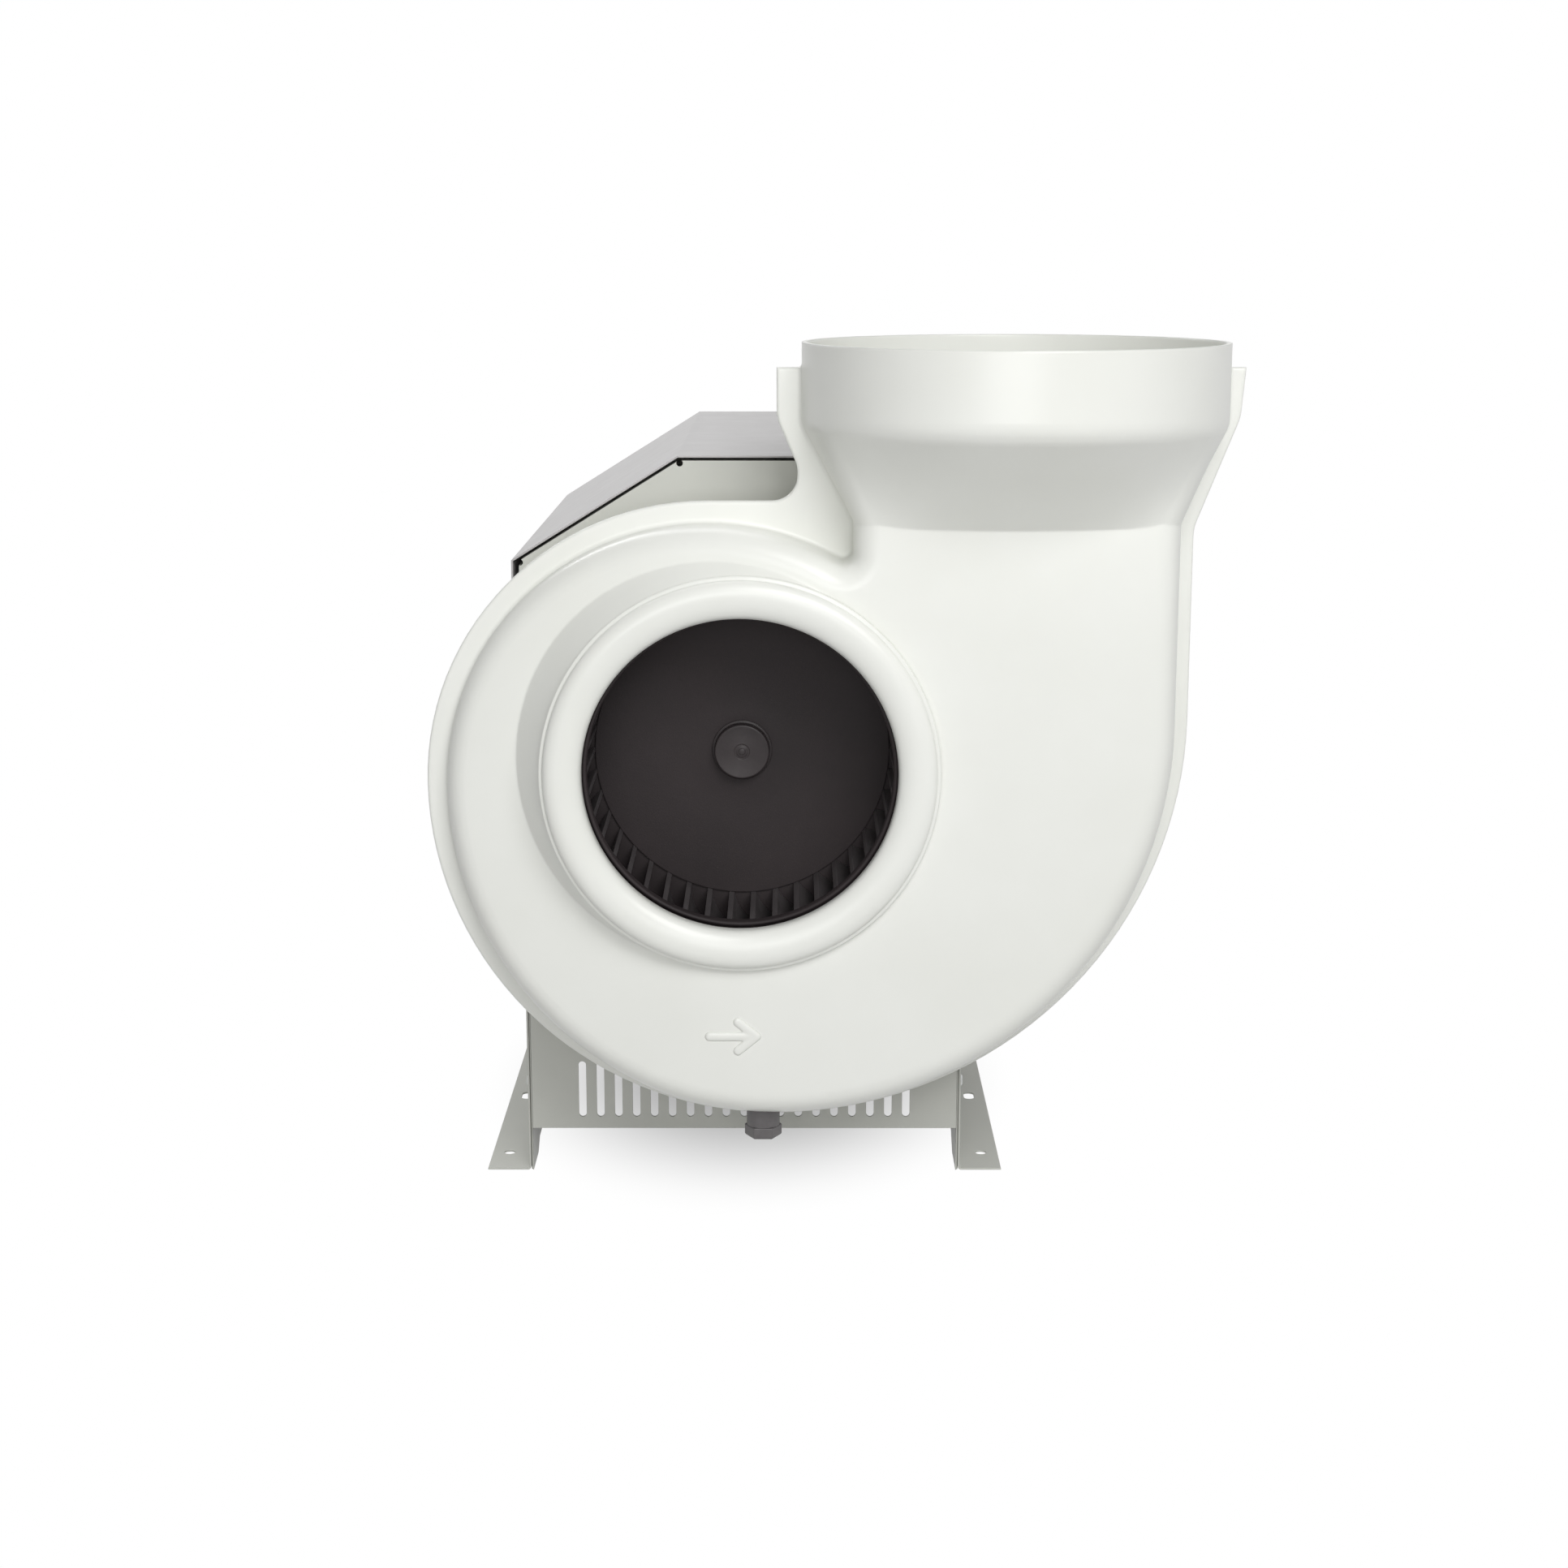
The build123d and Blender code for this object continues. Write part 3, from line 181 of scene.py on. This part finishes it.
def surface(
    name,
    light,
    dark,
    patch_mm,
    grain_mm,
    grain_depth_mm,
    rough,
    shader,
    edge_mm=0.5,
    turned_rings=False,
):
    """A surface whose colour and gloss drift over patch_mm, with a grain of grain_mm, or with
    turning rings that far apart round the shaft, and creases that catch the light as if rounded
    by edge_mm."""
    material = new_material(name)
    place = add_node(material, "ShaderNodeTexCoord")
    patches = add_node(
        material,
        "ShaderNodeTexNoise",
        {"Scale": 1 / (patch_mm * MM), "Detail": 3.0, "Roughness": 0.55},
        {"Vector": (place, "Object")},
    )
    tone = add_node(material, "ShaderNodeValToRGB", links={"Fac": (patches, "Fac")})
    tone.color_ramp.elements[0].position = 0.32
    tone.color_ramp.elements[0].color = linear(dark)
    tone.color_ramp.elements[1].position = 0.68
    tone.color_ramp.elements[1].color = linear(light)
    if turned_rings:
        centred = add_node(
            material,
            "ShaderNodeMapping",
            {"Location": (0, 0, -shaft_height)},
            {"Vector": (place, "Object")},
        )
        grain = add_node(
            material,
            "ShaderNodeTexWave",
            {
                "wave_type": "RINGS",
                "rings_direction": "Y",
                "Scale": math.tau / (wave_turns * grain_mm * MM),
            },
            {"Vector": (centred, "Vector")},
        )
    else:
        grain = add_node(
            material,
            "ShaderNodeTexNoise",
            {"Scale": 1 / (grain_mm * MM), "Detail": 2.0, "Roughness": 0.5},
            {"Vector": (place, "Object")},
        )
    crease = add_node(material, "ShaderNodeBevel", {"Radius": edge_mm * MM, "samples": 8})
    bump = add_node(
        material,
        "ShaderNodeBump",
        {"Strength": 1.0, "Distance": grain_depth_mm * MM},
        {"Height": (grain, "Fac"), "Normal": (crease, "Normal")},
    )
    gloss = add_node(
        material,
        "ShaderNodeMapRange",
        {"From Min": 0.3, "From Max": 0.7, "To Min": rough[0], "To Max": rough[1]},
        {"Value": (patches, "Fac")},
    )
    principled = add_node(
        material,
        "ShaderNodeBsdfPrincipled",
        shader,
        {
            "Base Color": (tone, "Color"),
            "Roughness": (gloss, "Result"),
            "Normal": (bump, "Normal"),
        },
    )
    add_node(material, "ShaderNodeOutputMaterial", links={"Surface": (principled, "BSDF")})
    return material


# Pvc shell moulding, off-white: smooth and glossy, with a faint long waviness in the reflections.
casing_pvc = surface(
    "glossy_moulded_pvc",
    "#F1F2ED",
    "#EDEEE8",
    patch_mm=160,
    grain_mm=34,
    grain_depth_mm=0.05,
    rough=(0.285, 0.335),
    shader={"IOR": 1.53},
    edge_mm=3.0,
)
# Impeller polypropylene, black: a fine spark-eroded mould grain that spreads the light.
impeller_plastic = surface(
    "grained_black_polypropylene",
    "#383233",
    "#2C2728",
    patch_mm=90,
    grain_mm=0.9,
    grain_depth_mm=0.06,
    rough=(0.55, 0.65),
    shader={"IOR": 1.49, "Specular IOR Level": 0.22},
)
# The blades are the same black polypropylene, painted a little greyer as painted light where their
# faces catch the lamps, and made a little shinier.
painted_lit_blade_plastic = surface(
    "black_polypropylene_painted_lit",
    "#565253",
    "#4B4748",
    patch_mm=30,
    grain_mm=1.2,
    grain_depth_mm=0.02,
    rough=(0.38, 0.48),
    shader={"IOR": 1.49, "Specular IOR Level": 0.4},
)
# The cap's mould was turned, so its face has fine rings that fan the light out.
cap_plastic = surface(
    "ringed_black_polypropylene",
    "#373132",
    "#2D2829",
    patch_mm=20,
    grain_mm=0.7,
    grain_depth_mm=0.05,
    rough=(0.36, 0.42),
    shader={"IOR": 1.49, "Specular IOR Level": 0.3},
    turned_rings=True,
)
# Powder-coated sheet steel, warm grey: satin, with the slight orange peel of the cured powder.
stand_coat = surface(
    "powder_coated_steel",
    "#CDCEC7",
    "#C7C8C1",
    patch_mm=120,
    grain_mm=2.2,
    grain_depth_mm=0.02,
    rough=(0.42, 0.5),
    shader={"IOR": 1.5},
)
# The hood sheet has the same coating, with a smoother and glossier cure.
hood_coat = surface(
    "satin_coated_hood",
    "#BAB8B8",
    "#B1AFAF",
    patch_mm=26,
    grain_mm=2.2,
    grain_depth_mm=0.015,
    rough=(0.3, 0.42),
    shader={"IOR": 1.5},
)
# Drain fitting, dark grey pvc: semi-matt, turned from a moulding.
drain_pvc = surface(
    "dark_grey_pvc",
    "#625F60",
    "#585556",
    patch_mm=12,
    grain_mm=0.8,
    grain_depth_mm=0.03,
    rough=(0.4, 0.5),
    shader={"IOR": 1.53},
)
# Zinc-plated steel: bright, with a thin milky passivated layer that varies in gloss.
zinc_steel = surface(
    "zinc_plated_steel",
    "#C6C8C6",
    "#AEB0AF",
    patch_mm=6,
    grain_mm=0.5,
    grain_depth_mm=0.01,
    rough=(0.28, 0.4),
    shader={"Metallic": 1.0},
)
# Painted die-cast aluminium: the paint rounds off a coarse casting skin.
motor_paint = surface(
    "painted_die_casting",
    "#7C8488",
    "#71797D",
    patch_mm=40,
    grain_mm=2.4,
    grain_depth_mm=0.08,
    rough=(0.38, 0.5),
    shader={"IOR": 1.5},
    edge_mm=1.0,
)
# The fan cowl is pressed sheet with the same paint, and smoother.
cowl_paint = surface(
    "painted_pressed_sheet",
    "#70787C",
    "#697175",
    patch_mm=60,
    grain_mm=1.6,
    grain_depth_mm=0.02,
    rough=(0.34, 0.42),
    shader={"IOR": 1.5},
)
# Electrical sheet, stacked: dull bare steel with a blue-grey oxide.
core_steel = surface(
    "stacked_core_steel",
    "#6E7072",
    "#5B5D60",
    patch_mm=8,
    grain_mm=0.7,
    grain_depth_mm=0.05,
    rough=(0.45, 0.6),
    shader={"Metallic": 0.9},
)
# Enamelled copper wire in varnish: warm and glossy.
copper_wire = surface(
    "varnished_copper_wire",
    "#9A5A34",
    "#7A4023",
    patch_mm=5,
    grain_mm=1.1,
    grain_depth_mm=0.25,
    rough=(0.25, 0.4),
    shader={"IOR": 1.55},
)
# Nitrile rubber: black and soft, with hardly any gloss.
seal_rubber = surface(
    "nitrile_rubber",
    "#1E1E1E",
    "#191919",
    patch_mm=20,
    grain_mm=0.7,
    grain_depth_mm=0.03,
    rough=(0.6, 0.7),
    shader={"IOR": 1.52},
)
# Moulded nylon, black: smooth with a light sheen.
black_nylon = surface(
    "black_nylon",
    "#232323",
    "#1D1D1D",
    patch_mm=20,
    grain_mm=0.8,
    grain_depth_mm=0.02,
    rough=(0.38, 0.46),
    shader={"IOR": 1.53},
)

by_slot = {
    "casing_pvc": casing_pvc,
    "drain_pvc": drain_pvc,
    "seal_rubber": seal_rubber,
    "stand_paint": stand_coat,
    "zinc_steel": zinc_steel,
    "motor_aluminium": motor_paint,
    "motor_cowl_paint": cowl_paint,
    "core_steel": core_steel,
    "winding_copper": copper_wire,
    "impeller_polypropylene": impeller_plastic,
    "black_nylon": black_nylon,
}
slot_of = {part["node"]: part["material_slot"] for part in frame["record"]["subparts"]}

for name, piece in nodes.items():
    piece.data.materials.clear()
    piece.data.materials.append(by_slot[slot_of[name]])


# Ways to make a piece


def finished(mesh, name, material, body, hidden=()):
    """Turns a bmesh into a named piece that rides on a body and stands for the hidden nodes."""
    data = bpy.data.meshes.new(name)
    mesh.to_mesh(data)
    mesh.free()
    data.shade_smooth()
    data.set_sharp_from_angle(angle=math.radians(crease_angle))
    data.materials.append(material)
    piece = bpy.data.objects.new(name, data)
    bpy.context.collection.objects.link(piece)
    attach(piece, body)
    if hidden:
        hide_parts(*hidden)
    return piece


def corner(mesh, y, radius):
    """One profile vertex, in mm along the shaft and out from it."""
    return [mesh.verts.new((0, y * MM, shaft_height + radius * MM))]


def bow(mesh, centre, along, out, start, turn=90, steps=14):
    """Part of an ellipse of edges round a centre (y, radius), swept by turn from start degrees."""
    before = len(mesh.verts)
    angle = math.radians(start)
    first = mesh.verts.new((0, math.cos(angle), math.sin(angle)))
    bmesh.ops.spin(mesh, geom=[first], axis=(1, 0, 0), angle=math.radians(turn), steps=steps)
    mesh.verts.ensure_lookup_table()
    swept = mesh.verts[before:]
    bmesh.ops.scale(mesh, vec=(1, along * MM, out * MM), verts=swept)
    middle = (0, centre[0] * MM, shaft_height + centre[1] * MM)
    bmesh.ops.translate(mesh, vec=middle, verts=swept)
    return swept


def turned(mesh, runs, steps=turn_steps):
    """Joins runs of profile vertices into a loop and spins it about the shaft."""
    for here, there in zip(runs, runs[1:] + runs[:1]):
        mesh.edges.new((here[-1], there[0]))
    bmesh.ops.spin(
        mesh,
        geom=mesh.verts[:] + mesh.edges[:],
        cent=(0, 0, shaft_height),
        axis=(0, 1, 0),
        angle=math.tau,
        steps=steps,
        use_merge=True,
    )
    bmesh.ops.remove_doubles(mesh, verts=mesh.verts, dist=weld_gap * MM)
    bmesh.ops.recalc_face_normals(mesh, faces=mesh.faces)


def merged_copy(name):
    """A CAD node's mesh with its triangles joined into flat faces."""
    mesh = bmesh.new()
    mesh.from_mesh(nodes[name].data)
    bmesh.ops.remove_doubles(mesh, verts=mesh.verts, dist=weld_gap * MM)
    bmesh.ops.dissolve_limit(
        mesh, angle_limit=math.radians(flat_angle), verts=mesh.verts, edges=mesh.edges
    )
    return mesh


def rounded(mesh, edges, radius_mm, segments):
    """Rounds some edges of a mesh, and gives the mesh back."""
    bmesh.ops.bevel(
        mesh,
        geom=edges,
        offset=radius_mm * MM,
        segments=segments,
        profile=0.5,
        affect="EDGES",
        material=-1,
    )
    return mesh


def with_soft_edges(mesh, edge_mm):
    """Rounds every sharp edge of a mesh by edge_mm."""
    sharp = [
        edge
        for edge in mesh.edges
        if len(edge.link_faces) == 2 and edge.calc_face_angle(0) > math.radians(sharp_angle)
    ]
    return rounded(mesh, sharp, edge_mm, edge_segments)


def keep_flats_flat(piece):
    """Lets the large faces of a piece set the shading, so that only its edges look round."""
    weighted = piece.modifiers.new("flat_faces", "WEIGHTED_NORMAL")
    weighted.mode = "FACE_AREA"
    weighted.weight = 100
    weighted.keep_sharp = True


def with_side_folds(mesh, outer_y):
    """Rounds the upright folds where a stand panel turns back into its two side returns."""
    half_width = max(vert.co.x for vert in mesh.verts)
    near = 0.05 * MM
    folds = [
        edge
        for edge in mesh.edges
        if all(
            abs(abs(vert.co.x) - half_width) < near and abs(vert.co.y - outer_y) < near
            for vert in edge.verts
        )
    ]
    return rounded(mesh, folds, fold_radius, fold_segments)


def kept_within(mesh, node):
    """Puts the few vertices that a rounding pushed past a node's box back on the box's faces."""
    low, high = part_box(node)
    for vert in mesh.verts:
        vert.co = [min(max(at, least), most) for at, least, most in zip(vert.co, low, high)]
    return mesh


# Inlet ring: a rolled lip whose outer edge drops into a fine groove and ends in a thin bead

mesh = bmesh.new()
collar = inlet + collar_depth
turned(
    mesh,
    [
        corner(mesh, ring_back, neck_radius),
        bow(
            mesh,
            (inlet + neck_length, crest_radius),
            neck_length,
            crest_radius - neck_radius,
            270,
            -90,
        ),
        bow(
            mesh,
            (inlet + lip_depth, crest_radius),
            lip_depth,
            lip_radius - crest_radius,
            180,
            -90,
        ),
        corner(mesh, inlet + lip_depth + groove_width, lip_radius - groove_depth),
        bow(
            mesh,
            (inlet + lip_depth + bead_radius + bead_gap, ring_radius - bead_radius),
            bead_radius,
            bead_radius,
            180,
            -90,
            6,
        ),
        corner(mesh, collar, ring_radius),
        corner(mesh, collar, plug_radius),
        corner(mesh, ring_back, plug_radius),
    ],
)
finished(mesh, "inlet_ring_rolled_lip", casing_pvc, "housing", ["inlet_ring"])

# Impeller back disc: a flat web with a shallow dish round the hub, a rounded edge behind the eye,
# and a step that the blades stand on

mesh = bmesh.new()
dish_floor = disc_front + dish_depth
step_face = disc_front + disc_step
turned(
    mesh,
    [
        corner(mesh, disc_back, disc_bore),
        corner(mesh, disc_front, disc_bore),
        corner(mesh, disc_front, dish_inner_slope[0]),
        corner(mesh, dish_floor, dish_inner_slope[1]),
        corner(mesh, dish_floor, dish_outer_slope[0]),
        corner(mesh, disc_front, dish_outer_slope[1]),
        corner(mesh, disc_front, eye_radius - disc_flat_margin),
        bow(
            mesh,
            (disc_front + disc_edge, eye_radius - disc_edge),
            disc_edge,
            disc_edge,
            180,
            -90,
            4,
        ),
        corner(mesh, step_face, eye_radius),
        corner(mesh, step_face, wheel_radius - disc_chamfer),
        corner(mesh, step_face + disc_chamfer, wheel_radius),
        corner(mesh, disc_back, wheel_radius),
    ],
)
finished(
    mesh,
    "impeller_web",
    impeller_plastic,
    "rotor",
    ["impeller_back_disc"],
)

# Impeller front ring: a bead round the eye, a shallow channel and a rounded outer rim

mesh = bmesh.new()
channel_floor = eye_front + channel_depth
turned(
    mesh,
    [
        corner(mesh, eye_back, eye_radius),
        bow(
            mesh,
            (eye_front + eye_bead_depth, eye_radius + eye_bead_half_width),
            eye_bead_depth,
            eye_bead_half_width,
            270,
            -180,
            12,
        ),
        corner(mesh, channel_floor, eye_radius + channel_inner_margin),
        corner(mesh, channel_floor, wheel_radius - channel_outer_margin),
        bow(
            mesh,
            (eye_front + rim_edge, wheel_radius - rim_edge),
            rim_edge,
            rim_edge,
            180,
            -90,
            8,
        ),
        corner(mesh, eye_back, wheel_radius),
    ],
)
finished(
    mesh,
    "impeller_eye_ring",
    impeller_plastic,
    "rotor",
    ["impeller_front_ring"],
)

# Blades, with their moulded edges rounded

vanes = finished(
    with_soft_edges(merged_copy("impeller_blades"), vane_edge),
    "impeller_vanes",
    painted_lit_blade_plastic,
    "rotor",
    ["impeller_blades"],
)
keep_flats_flat(vanes)

# Hub cap: a shallow dome with a rounded edge, a skirt at its foot and a bare boss in the middle

mesh = bmesh.new()
cap_top = disc_front - cap_rise
shoulder = cap_back - skirt_shoulder
groove_floor = cap_top + boss_groove_depth
turned(
    mesh,
    [
        corner(mesh, cap_back, cap_radius - cap_wall),
        corner(mesh, cap_back, cap_skirt),
        corner(mesh, cap_back - skirt_height, cap_skirt),
        corner(mesh, shoulder, cap_radius + skirt_slope),
        corner(mesh, shoulder, cap_radius),
        bow(mesh, (cap_top + cap_edge, cap_radius - cap_edge), cap_edge, cap_edge, 90, 90, 8),
        corner(mesh, cap_top + dome_drop, cap_radius - cap_edge - dome_margin),
        corner(mesh, cap_top + crown_drop, boss_groove_radii[0]),
        corner(mesh, groove_floor, boss_groove_radii[1]),
        corner(mesh, groove_floor, boss_groove_radii[2]),
        corner(mesh, cap_top - boss_rise, boss_radius),
        bow(mesh, (cap_top, 0), pip_rise, boss_radius - pip_margin, 90, 90, 6),
        corner(mesh, cap_top + cap_wall, 0),
        corner(mesh, cap_top + cap_wall, cap_radius - cap_wall),
    ],
    cap_turn_steps,
)
finished(
    mesh, "hub_cap_dome", cap_plastic, "rotor", ["hub_cap"]
)

# Turning arrow, raised on the casing's face: three rounded strokes grown together

casing_face = (inlet + casing_face_depth) * MM


def stroke(mesh, start, end):
    """A flattened round-ended bar between two (x, z) points on the casing's face."""
    reach = Vector((end[0] - start[0], 0, end[1] - start[1])) * MM
    ball = bmesh.ops.create_uvsphere(
        mesh,
        u_segments=24,
        v_segments=16,
        radius=arrow_stroke * MM,
        matrix=Matrix.Rotation(math.pi / 2, 4, "Y"),
    )["verts"]
    far = [vert for vert in ball if vert.co.x > weld_gap * MM]
    bmesh.ops.translate(mesh, vec=(reach.length, 0, 0), verts=far)
    bmesh.ops.scale(mesh, vec=(1, arrow_relief / arrow_stroke, 1), verts=ball)
    aim = Matrix.Rotation(-math.atan2(reach.z, reach.x), 3, "Y")
    bmesh.ops.rotate(mesh, matrix=aim, verts=ball)
    foot = (start[0] * MM, casing_face, shaft_height + start[1] * MM)
    bmesh.ops.translate(mesh, vec=foot, verts=ball)


mesh = bmesh.new()
stroke(mesh, arrow_tail, arrow_tip)
for barb in arrow_barbs:
    stroke(mesh, barb, arrow_tip)
arrow = finished(mesh, "turning_arrow", casing_pvc, "housing")
grown = arrow.modifiers.new("grown_together", "REMESH")
grown.mode = "VOXEL"
grown.voxel_size = arrow_voxel * MM
grown.use_smooth_shade = True
soft = arrow.modifiers.new("soft_joins", "SMOOTH")
soft.factor = 0.5
soft.iterations = 4

# Sheet metal and small parts, with their cut and folded edges rounded

for node, outer_y in (
    ("front_panel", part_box("front_panel")[0].y),
    ("rear_panel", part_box("rear_panel")[1].y),
):
    folded = with_soft_edges(with_side_folds(merged_copy(node), outer_y), sheet_edge)
    panel = kept_within(folded, node)
    piece = finished(panel, node + "_folded", stand_coat, "housing", [node])
    keep_flats_flat(piece)

for node, edge_mm, material, slot in (
    ("motor_hood", sheet_edge, hood_coat, "stand_paint"),
    ("left_side_plate", sheet_edge, stand_coat, "stand_paint"),
    ("right_side_plate", sheet_edge, stand_coat, "stand_paint"),
    ("drain_socket", socket_edge, drain_pvc, "drain_pvc"),
    ("drain_cap", drain_cap_edge, drain_pvc, "drain_pvc"),
):
    softened = with_soft_edges(merged_copy(node), edge_mm)
    piece = finished(softened, node + "_finish", material, "housing", [node])
    keep_flats_flat(piece)


# Floor, background, lamps and camera

# The floor's half width, and how far from the middle its shading begins and ends to run into the
# white backdrop, in metres. That fade is an oval, narrower from side to side, and the backdrop
# has a share of the floor's look even in the middle.
floor_reach = 14
fade_from = 0.08
fade_to = 0.37
fade_narrowing = 1.5
backdrop_share = 0.4


def sees_backdrop(owner):
    """A node that is 1 for rays from the camera and for those that gloss or glass passes on."""
    ray = add_node(owner, "ShaderNodeLightPath")
    direct = add_node(
        owner,
        "ShaderNodeMath",
        {"operation": "MAXIMUM"},
        {0: (ray, "Is Camera Ray"), 1: (ray, "Is Glossy Ray")},
    )
    return add_node(
        owner,
        "ShaderNodeMath",
        {"operation": "MAXIMUM"},
        {0: (direct, "Value"), 1: (ray, "Is Transmission Ray")},
    )


floor_mesh = bmesh.new()
bmesh.ops.create_grid(floor_mesh, x_segments=1, y_segments=1, size=floor_reach)
floor_data = bpy.data.meshes.new("floor")
floor_mesh.to_mesh(floor_data)
floor_mesh.free()
floor = bpy.data.objects.new("floor", floor_data)
bpy.context.collection.objects.link(floor)

# White acrylic sheet: a clean white with a faint mirror image of what stands on it. Away from
# the object it runs into the white backdrop.
floor_white = new_material("white_acrylic_floor")
spot = add_node(floor_white, "ShaderNodeTexCoord")
oval = add_node(
    floor_white,
    "ShaderNodeMapping",
    {"Scale": (fade_narrowing, 1, 1)},
    {"Vector": (spot, "Object")},
)
distance = add_node(
    floor_white, "ShaderNodeVectorMath", {"operation": "LENGTH"}, {0: (oval, "Vector")}
)
fade = add_node(
    floor_white,
    "ShaderNodeMapRange",
    {
        "interpolation_type": "SMOOTHSTEP",
        "From Min": fade_from,
        "From Max": fade_to,
        "To Min": backdrop_share,
        "To Max": 1.0,
    },
    {"Value": (distance, "Value")},
)
sheet = add_node(
    floor_white,
    "ShaderNodeBsdfPrincipled",
    {"Base Color": linear("#C4C4C4"), "Roughness": 0.1, "IOR": 1.4},
)
glow = add_node(floor_white, "ShaderNodeEmission", {"Color": (1, 1, 1, 1), "Strength": 1.0})
share = add_node(
    floor_white,
    "ShaderNodeMath",
    {"operation": "MULTIPLY"},
    {0: (sees_backdrop(floor_white), "Value"), 1: (fade, "Result")},
)
mixed = add_node(
    floor_white,
    "ShaderNodeMixShader",
    links={0: (share, "Value"), 1: (sheet, "BSDF"), 2: (glow, "Emission")},
)
add_node(floor_white, "ShaderNodeOutputMaterial", links={"Surface": (mixed, "Shader")})
floor_data.materials.append(floor_white)

# A dim even room light, behind a white backdrop that only the view and its reflections see
world = bpy.data.worlds.new("studio")
world.use_nodes = True
world.node_tree.nodes.clear()
bpy.context.scene.world = world
room = add_node(world, "ShaderNodeBackground", {"Color": (1, 1, 1, 1), "Strength": 0.2})
paper = add_node(world, "ShaderNodeBackground", {"Color": (1, 1, 1, 1), "Strength": 1.0})
backdrop = add_node(
    world,
    "ShaderNodeMixShader",
    links={
        0: (sees_backdrop(world), "Value"),
        1: (room, "Background"),
        2: (paper, "Background"),
    },
)
add_node(world, "ShaderNodeOutputWorld", links={"Surface": (backdrop, "Shader")})


def softbox(name, place, aim, width, height, watts):
    """A rectangular studio lamp that looks at a point."""
    data = bpy.data.lights.new(name, "AREA")
    data.shape = "RECTANGLE"
    data.size = width
    data.size_y = height
    data.energy = watts
    lamp = bpy.data.objects.new(name, data)
    bpy.context.collection.objects.link(lamp)
    lamp.location = place
    lamp.rotation_euler = (Vector(aim) - Vector(place)).to_track_quat("-Z", "Y").to_euler()


softbox("key_lamp", (0.85, -2.7, 2.15), (0.0, -0.3, 0.28), width=1.7, height=1.4, watts=50)
softbox("front_lamp", (-0.1, -3.0, 0.85), (0.0, -0.3, 0.2), width=1.4, height=0.9, watts=15)
softbox("top_lamp", (-0.3, 0.9, 2.5), (0.0, 0.0, 0.4), width=1.4, height=1.0, watts=8)
softbox("back_lamp", (-1.5, 2.2, 2.6), (0.0, 0.2, 0.3), width=1.4, height=1.1, watts=22)

# Camera, at the photograph's viewing angle: metres, millimetres of lens, and degrees
camera_place = (0.0348, -2.2456, 0.7472)
camera_lens = 58.70
look_down = 12.04
look_left = 0.07

camera_data = bpy.data.cameras.new("camera")
camera_data.sensor_width = 36
camera_data.lens = camera_lens
camera = bpy.data.objects.new("camera", camera_data)
bpy.context.collection.objects.link(camera)
camera.location = camera_place
camera.rotation_euler = (math.radians(90 - look_down), 0, math.radians(look_left))
bpy.context.scene.camera = camera
bpy.context.scene.view_settings.view_transform = "Standard"
